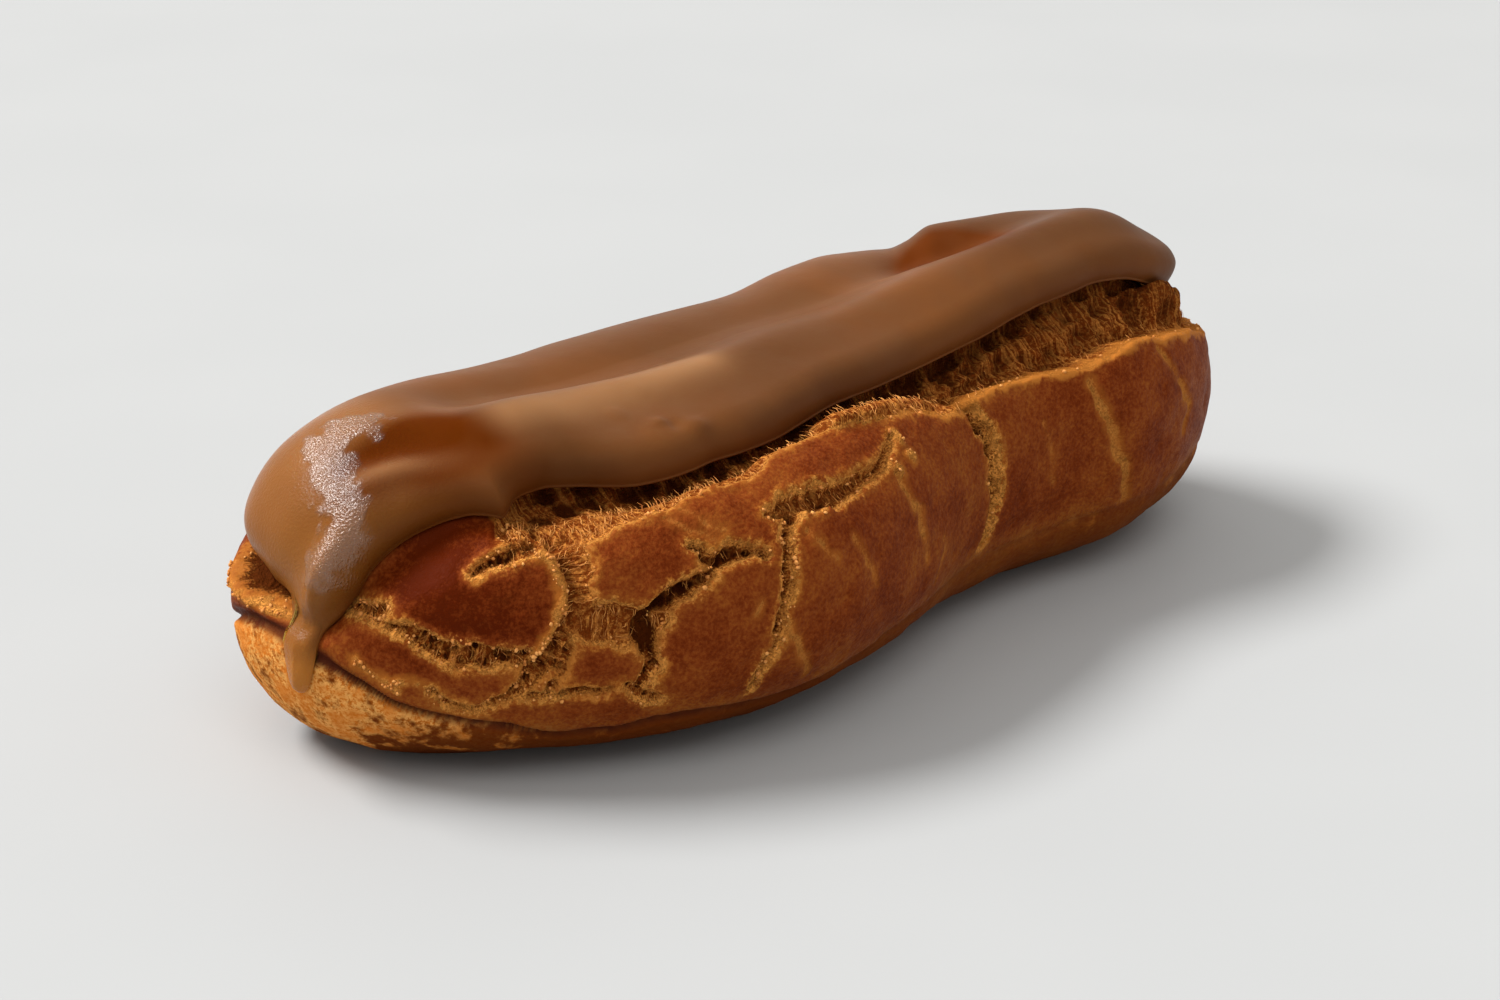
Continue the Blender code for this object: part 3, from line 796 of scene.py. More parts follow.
    def _note(self, crack: Crack, near: Array, gap: Array, run_at: Array, aside: Array,
              lateral: Array) -> None:
        """Write one crack into the reading where it is the nearest.

        Args:
            crack: the crack.
            near: the numbers of the points round it.
            gap: mm from its edge at those points.
            run_at: mm along the grain.
            aside: how far aside in half widths.
            lateral: the unit vectors across it.
        """
        reading, fringe = self.reading, crack.opening is Opening.FRINGE
        if fringe or crack.opening is Opening.LINE:
            nearer = gap < reading.line[near]
            reading.line[near] = np.where(nearer, gap, reading.line[near])
            strength = crack.pale if fringe else 0.7 * crack.pale
            reading.line_pale[near] = np.where(nearer, strength, reading.line_pale[near])
            kept = reading.raised if fringe else reading.deep
            kept[near] = np.maximum(kept[near], crack.depth * ease(*self.mark_edge, gap))
            return
        nearer = gap < reading.edge[near]
        inside = ease(*self.opening_edge, gap)
        tilt = 1.0 + crack.lean * np.clip(aside, -1.0, 1.0)
        ramp = np.clip(tilt / (1.0 + abs(crack.lean)), 0.0, 1.0)
        reading.deep[near] = np.maximum(reading.deep[near], crack.depth * inside * ramp)
        reading.across[near] = np.where(nearer[:, None], lateral, reading.across[near])
        pitted = {Opening.POCKED: 1.0, Opening.SPLIT: 0.75}.get(crack.opening, 0.0)
        for kept, value in ((reading.edge, gap), (reading.along, run_at), (reading.pale, crack.pale),
                            (reading.pits, pitted * inside),
                            (reading.fibre, inside * (crack.opening is Opening.TORN)),
                            (reading.hollow, inside * (crack.opening is Opening.HOLE))):
            kept[near] = np.where(nearer, value, kept[near])


# ---- finishes


class NodeBoard:
    """Adds and wires the shader nodes of one material."""

    NOISE_RANGE = (0.28, 0.72)    # the stretch that nearly all of a noise's values lie in

    def __init__(self, name: str) -> None:
        """Start a material with a Principled shader.

        Args:
            name: the material's name.
        """
        self.material = bpy.data.materials.new(name)
        self.material.use_nodes = True
        self.tree = self.material.node_tree
        self.shader = self.tree.nodes["Principled BSDF"]
        coordinates = self.tree.nodes.new("ShaderNodeTexCoord")
        self.place = coordinates.outputs["Object"]

    def put(self, socket: Socket, value: object) -> None:
        """Wire a socket to another socket, or set it to a plain value.

        Args:
            socket: the socket that is fed.
            value: the other socket or the plain value.
        """
        if isinstance(value, Socket):
            self.tree.links.new(value, socket)
        else:
            socket.default_value = value

    def finish(self, name: str, value: object) -> None:
        """Feed one of the shader's own inputs."""
        self.put(self.shader.inputs[name], value)

    def mark(self, name: str) -> Socket:
        """Read a named mark of the mesh.

        Args:
            name: the mark's name.

        Returns:
            Its value.
        """
        node = self.tree.nodes.new("ShaderNodeAttribute")
        node.attribute_type = "GEOMETRY"
        node.attribute_name = name
        return node.outputs["Fac"]

    def noise(self, width_mm: float, detail: float = 3.0, roughness: float = 0.6,
              place: Socket | None = None) -> Socket:
        """Noise with lumps of a given width.

        Args:
            width_mm: width of the largest lumps in mm.
            detail: how many finer layers.
            roughness: how strong the finer layers are.
            place: where it is read, in mm, if not at the object's own points.

        Returns:
            The noise value, about 0 to 1.
        """
        node = self.tree.nodes.new("ShaderNodeTexNoise")
        unit_size = MM if place is None else 1.0
        node.inputs["Scale"].default_value = 1.0 / (width_mm * unit_size)
        node.inputs["Detail"].default_value = detail
        node.inputs["Roughness"].default_value = roughness
        self.put(node.inputs["Vector"], self.place if place is None else place)
        return node.outputs["Fac"]

    def cells(self, width_mm: float, stretch: float = 1.0) -> Socket:
        """Distance from the nearest of many scattered pores, 0 at its middle.

        Args:
            width_mm: mean spacing of the pores in mm.
            stretch: how much taller than wide they are.

        Returns:
            The distance in pore spacings.
        """
        scale = self.tree.nodes.new("ShaderNodeVectorMath")
        scale.operation = "MULTIPLY"
        scale.inputs[1].default_value = (1.0, 1.0, 1.0 / stretch)
        self.tree.links.new(self.place, scale.inputs[0])
        node = self.tree.nodes.new("ShaderNodeTexVoronoi")
        node.inputs["Scale"].default_value = 1.0 / (width_mm * MM)
        self.tree.links.new(scale.outputs["Vector"], node.inputs["Vector"])
        return node.outputs["Distance"]

    def ramp(self, value: object, stops: tuple[tuple[float, Colour], ...]) -> Socket:
        """Read a colour from a row of stops.

        Args:
            value: where to read, 0 to 1.
            stops: places with their colours, in rising order.

        Returns:
            The colour read.
        """
        node = self.tree.nodes.new("ShaderNodeValToRGB")
        elements = node.color_ramp.elements
        while len(elements) < len(stops):
            elements.new(0.5)
        for element, (place, colour) in zip(elements, stops):
            element.position = place
            element.color = (*colour, 1.0)
        self.put(node.inputs["Fac"], value)
        return node.outputs["Color"]

    def place_from(self, x: object, y: object) -> Socket:
        """Make a place out of two values.

        Args:
            x: the first coordinate.
            y: the second coordinate.

        Returns:
            The place.
        """
        node = self.tree.nodes.new("ShaderNodeCombineXYZ")
        self.put(node.inputs["X"], x)
        self.put(node.inputs["Y"], y)
        return node.outputs["Vector"]

    def math(self, operation: str, first: object, second: object) -> Socket:
        """Work out one sum.

        Args:
            operation: which, by its name in the node.
            first: its first value.
            second: its second value.

        Returns:
            The result.
        """
        node = self.tree.nodes.new("ShaderNodeMath")
        node.operation = operation
        self.put(node.inputs[0], first)
        self.put(node.inputs[1], second)
        return node.outputs[0]

    def times(self, first: object, second: object) -> Socket:
        """The product of two values."""
        return self.math("MULTIPLY", first, second)

    def plus(self, first: object, second: object) -> Socket:
        """The sum of two values."""
        return self.math("ADD", first, second)

    def larger(self, first: object, second: object) -> Socket:
        """The larger of two values."""
        return self.math("MAXIMUM", first, second)

    def span(self, value: object, low: float, high: float, out_low: float = 0.0,
             out_high: float = 1.0) -> Socket:
        """Map a stretch of values smoothly onto another and hold it outside.

        Args:
            value: what is mapped.
            low: value that gives out_low.
            high: value that gives out_high.
            out_low: result at low.
            out_high: result at high.

        Returns:
            The mapped value.
        """
        node = self.tree.nodes.new("ShaderNodeMapRange")
        node.interpolation_type = "SMOOTHSTEP"
        ends = (low, high, out_low, out_high)
        if low > high:
            ends = (high, low, out_high, out_low)
        for number, end in enumerate(ends, start=1):
            node.inputs[number].default_value = end
        self.put(node.inputs["Value"], value)
        return node.outputs["Result"]

    def wander(self, value: object, noise: Socket, reach: float) -> Socket:
        """A value moved up and down by a noise, at most by reach."""
        return self.plus(value, self.span(noise, *self.NOISE_RANGE, -reach, reach))

    def blend(self, share: object, first: object, second: object) -> Socket:
        """Mix two colours.

        Args:
            share: how much of the second.
            first: a colour or a colour socket.
            second: a colour or a colour socket.

        Returns:
            The mixed colour.
        """
        node = self.tree.nodes.new("ShaderNodeMix")
        node.data_type = "RGBA"
        self.put(node.inputs["Factor"], share)
        colours = [socket for socket in node.inputs if socket.type == "RGBA"]
        for socket, value in zip(colours, (first, second)):
            self.put(socket, (*value, 1.0) if isinstance(value, tuple) else value)
        return next(socket for socket in node.outputs if socket.type == "RGBA")

    def bump(self, height: Socket, depth_mm: float,
             under: Socket | None = None) -> Socket:
        """Turn a height into a bumped normal.

        Args:
            height: the height, 0 to 1.
            depth_mm: how deep the relief reads.
            under: a bumped normal to add to.

        Returns:
            The bumped normal.
        """
        node = self.tree.nodes.new("ShaderNodeBump")
        node.inputs["Strength"].default_value = 1.0
        node.inputs["Distance"].default_value = depth_mm * MM
        self.put(node.inputs["Height"], height)
        if under is not None:
            self.put(node.inputs["Normal"], under)
        return node.outputs["Normal"]


class CrustBoard(NodeBoard):
    """The nodes of the crust's material, with the noises that its parts share."""

    def __init__(self) -> None:
        """Start the material and make the noises."""
        super().__init__("baked_choux")
        self.grain = self.noise(0.8, 4.0, 0.65)
        self.fine = self.noise(0.30, 3.0, 0.7)
        self.lumps = self.noise(2.2, 3.0, 0.6)
        self.uneven = self.noise(5.0, 3.0, 0.6)


@dataclass(frozen=True)
class BakedCrustFinish:
    """Egg-washed choux: brown plates with golden borders, tan crumb, a golden matte foot; shade is painted
    into the crumb's pits, holes and deep places and low on the foot.
    """

    bake: tuple[tuple[float, Colour], ...] = (
        (0.00, (0.300, 0.098, 0.017)), (0.22, (0.262, 0.071, 0.0105)), (0.45, (0.206, 0.043, 0.0072)),
        (0.65, (0.154, 0.026, 0.0038)), (0.95, (0.085, 0.010, 0.0008)))
    border_gold: Colour = (0.420, 0.140, 0.020)
    brink_gold: Colour = (0.460, 0.158, 0.024)
    pale_edge: Colour = (0.950, 0.390, 0.078)
    crumb_light: Colour = (0.940, 0.370, 0.072)
    crumb_mid: Colour = (0.225, 0.046, 0.0055)
    # painted shade for the pits, pores and deep places of the crumb
    crumb_dark: Colour = (0.060, 0.011, 0.0014)
    # painted shade for the holes
    hole_red: Colour = (0.105, 0.022, 0.0026)
    foot_light: Colour = (0.840, 0.430, 0.118)
    foot_gold: Colour = (0.560, 0.155, 0.0160)
    # partly the foot's own brown, partly painted shade towards the base
    foot_brown: Colour = (0.130, 0.025, 0.0024)
    crease_red: Colour = (0.062, 0.013, 0.0070)
    plate_roughness: float = 0.42
    crumb_roughness: float = 0.85
    plate_shine: float = 0.018
    crumb_shine: float = 0.02
    relief_mm: float = 0.62
    plate_relief: float = 0.16     # of the crumb's
    foot_relief: float = 0.03      # of the way from the plates' to the crumb's
    pore_mm: float = 1.0
    pore_stretch: float = 1.7

    def _plates(self, board: CrustBoard) -> Socket:
        """Colour the glazed plates, from gold through brown to nearly burnt.

        Args:
            board: the material's nodes.

        Returns:
            The colour.
        """
        patches = board.noise(6.0, 4.0, 0.6)
        brown = board.wander(board.wander(board.mark("brown"), patches, 0.16), board.grain, 0.11)
        brown = board.wander(brown, board.noise(0.40, 3.0, 0.65), 0.11)
        return board.ramp(brown, self.bake)

    def _foot(self, board: CrustBoard) -> Socket:
        """Colour the unglazed foot: golden, with pale grains, browner near the base, where the darkening
        is partly its own brown and partly painted shade.

        Args:
            board: the material's nodes.

        Returns:
            The colour.
        """
        blotches = board.noise(3.0, 3.0, 0.5)
        specks = board.noise(0.55, 4.0, 0.75)
        brown = board.wander(board.wander(board.mark("foot_brown"), blotches, 0.62), board.grain, 0.16)
        colour = board.blend(board.span(brown, 0.0, 1.0), self.foot_gold, self.foot_brown)
        grains = board.times(board.span(specks, 0.60, 0.44), board.span(blotches, 0.36, 0.58, 0.25, 1.0))
        lit = board.times(grains, board.span(brown, 0.95, 0.15, 0.02, 0.9))
        return board.blend(lit, colour, self.foot_light)

    def _crumb(self, board: CrustBoard) -> Socket:
        """Colour the torn crumb: fine light streaks across the tear, and painted shade in the pores, the
        deep places and the holes.

        Args:
            board: the material's nodes.

        Returns:
            The colour.
        """
        here = board.place_from(board.mark("along"), board.times(board.mark("edge"), 0.18))
        streaks = board.noise(0.42, 3.0, 0.65, here)
        speckle = board.noise(0.45, 3.0, 0.7)
        light = board.plus(board.span(streaks, 0.47, 0.60, 0.0, 0.70),
                           board.span(speckle, 0.50, 0.62, 0.0, 0.50))
        light = board.times(light, board.span(board.grain, 0.34, 0.60, 0.30, 1.0))
        colour = board.blend(light, self.crumb_mid, self.crumb_light)
        # painted shade in the pores of the pocked crumb
        pores = board.wander(board.cells(self.pore_mm, self.pore_stretch), board.grain, 0.16)
        pores = board.times(board.span(pores, 0.44, 0.20),
                            board.span(board.mark("pocked"), 0.25, 0.85, 0.0, 0.85))
        deep = board.larger(board.wander(board.mark("deep"), board.grain, 0.18), pores)
        colour = board.blend(board.span(deep, 0.10, 0.95), colour, self.crumb_dark)
        return board.blend(board.span(board.mark("hollow"), 0.2, 0.8), colour, self.hole_red)

    def _golden(self, board: CrustBoard) -> Socket:
        """Find the golden borders of the plates, and the stretch marks.

        Args:
            board: the material's nodes.

        Returns:
            How golden each place is, 0 to 1.
        """
        wide_edge = board.wander(board.wander(board.mark("edge"), board.lumps, 0.5), board.grain, 0.6)
        near_edge = board.times(board.span(wide_edge, 0.85, 0.0),
                                board.span(board.uneven, 0.35, 0.6, 0.45, 1.0))
        near_line = board.span(board.wander(board.mark("line"), board.lumps, 0.35), 1.0, 0.0, 0.0, 0.75)
        near_line = board.times(near_line, board.mark("line_pale"))
        golden = board.larger(near_edge, near_line)
        return board.times(golden, board.span(board.grain, 0.30, 0.62, 0.45, 1.0))

    def _rind(self, board: CrustBoard, edge: Socket) -> Socket:
        """Find the broken rind that shows pale along the openings and on crumbly edges.

        Args:
            board: the material's nodes.
            edge: mm from the nearest opening's edge.

        Returns:
            How pale each place is, 0 to 1.
        """
        line = board.wander(board.mark("line"), board.fine, 0.25)
        broken = board.times(board.span(board.fine, 0.36, 0.54, 0.35, 1.0),
                             board.span(board.uneven, 0.36, 0.56, 0.55, 1.0))
        rind = board.times(board.span(board.wander(edge, board.grain, 0.45), 0.62, 0.12),
                           board.span(board.mark("pale"), 0.0, 0.9))
        crumbly = board.times(board.span(line, 0.25, -0.15), board.mark("line_pale"))
        return board.times(board.larger(rind, crumbly), broken)

    def material(self) -> bpy.types.Material:
        """Build the material; it reads the marks of the crust's mesh.

        Returns:
            The finished material.
        """
        board = CrustBoard()
        foot = board.mark("foot")
        edge = board.wander(board.mark("edge"), board.fine, 0.20)
        torn = board.span(edge, 0.02, -0.24)
        pale = self._rind(board, edge)
        brink = board.span(board.wander(board.mark("brink"), board.lumps, 0.35), 0.30, 0.85, 0.0, 0.85)
        colour = board.blend(foot, self._plates(board), self._foot(board))
        colour = board.blend(self._golden(board), colour, self.border_gold)
        colour = board.blend(pale, colour, self.pale_edge)
        colour = board.blend(torn, colour, self._crumb(board))
        colour = board.blend(brink, colour, self.brink_gold)
        board.finish("Base Color", board.blend(board.mark("crease"), colour, self.crease_red))
        matte = board.larger(board.larger(torn, foot), pale)
        rough = board.span(matte, 0.0, 1.0, self.plate_roughness, self.crumb_roughness)
        board.finish("Roughness", board.wander(rough, board.grain, 0.05))
        board.finish("Specular IOR Level", board.span(matte, 0.0, 1.0, self.plate_shine, self.crumb_shine))
        relief = board.plus(board.span(board.grain, 0.25, 0.75, 0.0, 0.65),
                            board.span(board.fine, 0.25, 0.75, 0.0, 0.35))
        foot_relief = board.span(foot, 0.0, 1.0, 0.0, self.foot_relief)
        open_crumb = board.larger(board.larger(torn, pale), foot_relief)
        relief = board.times(relief, board.span(open_crumb, 0.0, 1.0, self.plate_relief, 1.0))
        board.finish("Normal", board.bump(relief, self.relief_mm))
        return board.material


@dataclass(frozen=True)
class CrumbFinish:
    """Dry torn crumb, for strands and loose crumbs."""

    name: str
    light: Colour
    dark: Colour
    grain_mm: float = 1.1
    roughness: float = 0.8
    shine: float = 0.25
    relief_mm: float = 0.1

    def material(self) -> bpy.types.Material:
        """Build the material.

        Returns:
            The finished material.
        """
        board = NodeBoard(self.name)
        grain = board.noise(self.grain_mm, 3.0, 0.6)
        board.finish("Base Color", board.blend(board.span(grain, 0.32, 0.68), self.dark, self.light))
        board.finish("Roughness", self.roughness)
        board.finish("Specular IOR Level", self.shine)
        board.finish("Normal", board.bump(grain, self.relief_mm))
        return board.material


@dataclass(frozen=True)
class FondantFinish:
    """Coffee fondant: milky brown, satin, amber where thin, wet at the near end, with painted shade,
    painted highlights on its crests and painted light on its drip.
    """

    body: Colour = (0.150, 0.051, 0.0118)
    milky: Colour = (0.140, 0.053, 0.0168)
    # amber of the thin coat, darkened to paint shade in the hollows
    amber: Colour = (0.086, 0.0160, 0.0005)
    # painted highlight along the crests
    sandy: Colour = (0.290, 0.138, 0.055)
    dry_roughness: float = 0.42
    wet_roughness: float = 0.28
    streak_roughness: float = 0.16
    near_end: Colour = (0.235, 0.085, 0.0140)
    # painted light: the drip made lighter than the coat it hangs from
    tongue: Colour = (0.390, 0.140, 0.0200)
    shaded: Colour = (0.088, 0.0300, 0.0068)
    scatter_mm: Triple = (1.2, 0.5, 0.25)
    scatter_share: float = 0.25
    dry_shine: float = 0.06
    wet_shine: float = 0.13
    streak_shine: float = 0.85
    skin_mm: float = 0.045
    sugar_mm: float = 0.22

    def material(self) -> bpy.types.Material:
        """Build the material; it reads the marks of the icing's mesh.

        Returns:
            The finished material.
        """
        board = NodeBoard("coffee_fondant")
        clouds = board.noise(11.0, 2.0, 0.5)
        sugar = board.noise(0.30, 2.0, 0.6)
        wet, streak = board.mark("wet"), board.mark("streak")
        thin = board.wander(board.mark("thin"), clouds, 0.12)
        colour = board.blend(board.span(clouds, 0.35, 0.65, 0.1, 0.8), self.body, self.milky)
        colour = board.blend(board.wander(board.mark("shade"), clouds, 0.15), colour, self.shaded)
        colour = board.blend(wet, colour, self.near_end)
        colour = board.blend(board.span(thin, 0.0, 1.0), colour, self.amber)
        colour = board.blend(board.wander(board.mark("crest"), clouds, 0.08), colour, self.sandy)
        board.finish("Base Color", board.blend(board.mark("tongue"), colour, self.tongue))
        rough = board.span(wet, 0.0, 1.0, self.dry_roughness, self.wet_roughness)
        smoother = self.streak_roughness / self.wet_roughness
        rough = board.times(rough, board.span(streak, 0.1, 0.8, 1.0, smoother))
        board.finish("Roughness", board.wander(rough, clouds, 0.03))
        shine = board.times(board.span(wet, 0.0, 1.0, self.dry_shine, self.wet_shine),
                            board.span(thin, 0.1, 0.9, 1.0, 0.15))
        shine = board.plus(shine, board.span(streak, 0.1, 0.8, 0.0, self.streak_shine))
        board.finish("Specular IOR Level", shine)
        board.finish("Subsurface Weight", self.scatter_share)
        board.finish("Subsurface Radius", self.scatter_mm)
        board.finish("Subsurface Scale", MM)
        skin = board.bump(board.noise(2.6, 2.0, 0.5), self.skin_mm)
        sandy = board.plus(board.span(wet, 0.0, 1.0, 0.05, 0.30), board.span(streak, 0.1, 0.7, 0.0, 0.70))
        board.finish("Normal", board.bump(board.times(sugar, sandy), self.sugar_mm, skin))
        return board.material


# ---- pieces


def dress(piece: bpy.types.Object, material: bpy.types.Material, slot: str, *nodes: str) -> None:
    """Give a piece its material, its body and the nodes that it stands for.

    Args:
        piece: the new piece.
        material: its finish.
        slot: the name of a material slot; not used.
        nodes: the solids that it replaces, if any.
    """
    piece.data.materials.clear()
    piece.data.materials.append(material)
    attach(piece, "root")
    if nodes:
        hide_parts(*nodes)


@dataclass
class ChouxCrust:
    """The baked shell: foot, seam, cracked plates, torn groove, flat base."""

    form: EclairForm
    columns: int = 820
    base_rows: int = 5
    band_rows: int = 104
    cap_rows: int = 5
    band_top_extra: float = 5.0      # degrees that the fine rows reach past the lip
    cap_top: float = 84.0            # latitude of the last ring
    focus: Stations = default({0: 1.2, 12: 1.3, 36: 1.5, 60: 1.5, 80: 1.0, 180: 0.75})
    seam_depth: Stations = default({
        0: 1.0, 12: 1.2, 20: 1.2, 60: 1.0, 80: 0.5, 100: 0.15, 180: 0.15, 250: 0.4, 300: 0.9,
        345: 1.0, 360: 1.0})
    groove_extra: Stations = default({
        0: 0.0, 39: 0.0, 44: 1.4, 70: 1.0, 95: 1.6, 105: 1.6, 140: 1.4, 150: 1.0, 185: 0.95,
        220: 0.4, 320: 0.2, 345: 0.0, 360: 0.0})
    groove_full: float = 0.9         # mm of extra depth from which the groove is whole
    brink_share: float = 0.6         # how far down the rim's slope its brink lies
    ridge: Course = ((-9.0, 32.6), (-5.0, 32.4), (3.0, 32.0), (9.0, 30.8), (13.0, 29.0))
    ridge_height: float = 2.6
    ridge_half_width: float = 1.5
    brink_drop: float = 1.2
    far_drop: float = 4.6
    foot_bulge: float = 0.35
    puff: float = 0.5
    flat_edge: float = 0.5           # degrees above the base's edge that stay as they are
    seed: int = 5

    def __post_init__(self) -> None:
        """Set the heading and latitude of every ring point, and read the form there."""
        form = self.form
        ring = form.even_headings(self.columns, self.focus)
        base = form.base_latitude(ring)
        band_top = self.band_top_extra + np.maximum(
            read_at(form.lip_latitude, ring), read_at(form.rim_latitude, ring))
        under = -90.0 + (base + 90.0) * np.linspace(0.12, 0.95, self.base_rows)[:, None]
        band = form.even_latitudes(ring, base, band_top, self.band_rows)
        to_top = np.linspace(0.0, 1.0, self.cap_rows + 1)[1:, None]
        latitude = np.concatenate([under, band, band_top + (self.cap_top - band_top) * to_top])
        heading = np.broadcast_to(ring, latitude.shape).copy()
        self.row_share = np.concatenate([np.linspace(0.0, 0.06, self.base_rows),
                                         np.linspace(0.08, 0.97, self.band_rows),
                                         np.linspace(0.98, 1.0, self.cap_rows)])
        self.heading, self.latitude = heading, latitude
        self.smooth: Array = form.point(heading, latitude)    # before any feature
        self.outward = form.outward(heading, latitude)
        self.base = form.base_latitude(heading)
        self.seam = read_at(form.seam_latitude, heading)
        self.lip = read_at(form.lip_latitude, heading)
        self.rim = read_at(form.rim_latitude, heading)
        self.slope = read_at(form.rim_slope, heading)
        self.brink = self.rim - self.brink_share * self.slope    # the groove's lower edge
        extra = read_at(self.groove_extra, heading)
        self.has_groove = np.clip(extra / self.groove_full, 0.0, 1.0)
        self.noise = GrainNoise(self.seed)

    def _read_edges(self) -> Array:
        """Read the cracks, then join in the groove between the plates and the icing.

        Returns:
            How much each point belongs to the groove, 0 to 1.
        """
        heading, latitude, form, brink = self.heading, self.latitude, self.form, self.brink
        reading = CrackField(form, crust_cracks(), self.smooth, self.outward, heading).read()
        upward = form.point(heading, brink + 0.5) - form.point(heading, brink - 0.5)
        away = np.linalg.norm(self.smooth - form.point(heading, brink), axis=-1)
        below = away * np.sign(brink - latitude)
        below = below + 0.42 * self.noise.layered(self.smooth, 2.6, 3, 0.6)
        missing = 1.5 * (1.0 - self.has_groove)
        below = np.where(self.has_groove > 0.02, below + missing, NONE_NEAR)
        self.below = below    # mm under the brink
        on_side = ease(self.seam + 0.5, self.seam + 3.0, latitude)
        for name in ("deep", "raised", "pits", "fibre", "hollow", "pale", "line_pale"):
            setattr(reading, name, getattr(reading, name) * on_side)
        for name in ("edge", "line"):
            setattr(reading, name, np.where(on_side > 0.3, getattr(reading, name), NONE_NEAR))
        nearer = below < reading.edge
        reading.edge = np.where(nearer, below, reading.edge)
        reading.along = np.where(nearer, self.smooth[..., 0], reading.along)
        reading.pale = np.where(nearer, 0.55, reading.pale)
        reading.across = np.where(nearer[..., None], unit(upward), reading.across)
        groove = ease(0.35, -0.6, below) * self.has_groove
        reading.fibre = np.maximum(reading.fibre, groove)
        self.reading = reading
        return groove

    def _groove_depth(self, groove: Array) -> Array:
        """Work out the torn groove, with its webs and its crumb ridge.

        Args:
            groove: how much each point belongs to it.

        Returns:
            How deep it lies under the form, in mm.
        """
        heading, latitude, form, noise = self.heading, self.latitude, self.form, self.noise
        points, lip, brink = self.smooth, self.lip, self.brink
        full = form.icing_thickness + form.layer_gap
        far_wall = ease(88.0, 100.0, heading) * ease(215.0, 195.0, heading)
        far_tip = ease(138.0, 152.0, heading) * ease(215.0, 200.0, heading)
        drop = self.brink_drop + (self.far_drop - self.brink_drop) * far_wall
        inward = ease(brink + 1.0, np.maximum(lip - 1.5, brink + 4.0), latitude)
        steep = ease(0.4, -0.8 - 0.9 * far_wall, self.below)
        under_icing = full * ease(self.rim - self.slope, self.rim, latitude)
        torn_back = drop * steep + (full - drop) * inward
        flush = (2.0 - 1.1 * ease(brink + 2.0, lip - 3.0, latitude)) * ease(0.4, -1.2, self.below)
        flush = flush + (full - 0.9) * ease(lip - 3.0, lip - 0.4, latitude)
        torn_back = torn_back + (flush - torn_back) * far_tip
        layer = under_icing + (torn_back - under_icing) * self.has_groove
        before_lip = ease(lip + 8.0, lip + 1.0, latitude)
        extra = read_at(self.groove_extra, heading) * inward * before_lip * (1.0 - far_tip)
        warp = points + 0.9 * noise.plain(points, 3.0)[..., None]
        webs = noise.bubbles(warp, (3.4, 3.4, 9.0)) + 0.12 * noise.plain(points, 4.0)
        caves = 1.3 * far_wall * (1.0 - 0.5 * far_tip) + 0.55 * (1.0 - far_wall)
        caves = caves * ease(0.72, 0.25, webs) * np.maximum(ease(0.2, 0.7, inward), far_wall)
        crumble = caves + 0.35 * noise.layered(points, 1.5, 2)
        in_deep = np.maximum(ease(0.2, 0.7, inward), far_wall * steep)
        # the next three masks also steer the painted shade in the crumb's colour
        self.caves = groove * ease(0.66, 0.25, webs) * in_deep    # 1 between the webs
        self.inward = inward * self.has_groove                    # 1 at the groove's inner end
        self.walled = far_wall * steep * self.has_groove          # 1 on its far wall
        from_ridge = path_distance((points - form.shift)[..., [0, 2]], self.ridge)
        front = ease(60.0, 70.0, heading) * ease(120.0, 110.0, heading)
        rise = self.ridge_height * bell(from_ridge, 0.0, self.ridge_half_width) * front * groove
        return layer + extra + crumble * groove * before_lip - rise

    def _shape(self) -> Array:
        """Work out every feature at every point, and note the marks for the finish.

        Returns:
            How far each point moves out of the form, in mm.
        """
        latitude, points, noise, seam, base = self.latitude, self.smooth, self.noise, self.seam, self.base
        groove = self._read_edges()
        reading = self.reading
        turn = (self.heading + HALF_TURN) % FULL_TURN - HALF_TURN
        x = (points - self.form.shift)[..., 0]
        under_drip = bell(turn, 9.0, 6.0) * ease(24.0, 14.0, latitude)
        free = 1.0 - under_drip

        coarse = noise.layered(points, 14.0, 2)
        small = noise.layered(points, 1.6, 2, 0.6)
        lumps = 0.32 * coarse + 0.16 * noise.layered(points, 5.0, 2) + 0.04 * small
        closed = np.exp(-np.maximum(reading.edge, 0.0) / 1.3)
        pit_cells = noise.bubbles(points + 0.5 * small[..., None], (0.85, 0.85, 1.45))
        pits = reading.pits * ease(0.66, 0.25, pit_cells)
        torn_grain = np.stack([reading.along, reading.edge * 0.5, np.zeros_like(reading.edge)], axis=-1)
        strands = reading.fibre * 0.13 * noise.plain(torn_grain, 0.8)
        torn_lumps = 0.16 * small * ease(0.3, -0.2, reading.edge)
        brow = 0.20 * bell(reading.edge, 0.55, 0.4)
        foot = ease(seam + 0.4, seam - 1.6, latitude)
        seam_depth = read_at(self.seam_depth, self.heading)
        crease = bell(latitude + 0.9 * noise.plain(points, 6.0), seam, 1.4)
        bulge = self.foot_bulge * bell(latitude, (seam * 2 + base) / 3, 12.0) * ease(-66.0, -50.0, x)
        foot_pits = 0.05 * foot * ease(0.42, 0.15, noise.bubbles(points, 1.7))
        freckles = 0.14 * ease(0.30, 0.12, noise.bubbles(points, 5.0)) * (1.0 - foot)
        flap = 0.5 * bell(turn, -11.0, 9.0) * bell(latitude, 6.0, 6.0)
        lip = np.maximum(self.lip, 0.0)
        room = 0.5 * ease(lip + 3.0, lip + 15.0, latitude)
        rising = ease(base, base + 12.0, latitude)

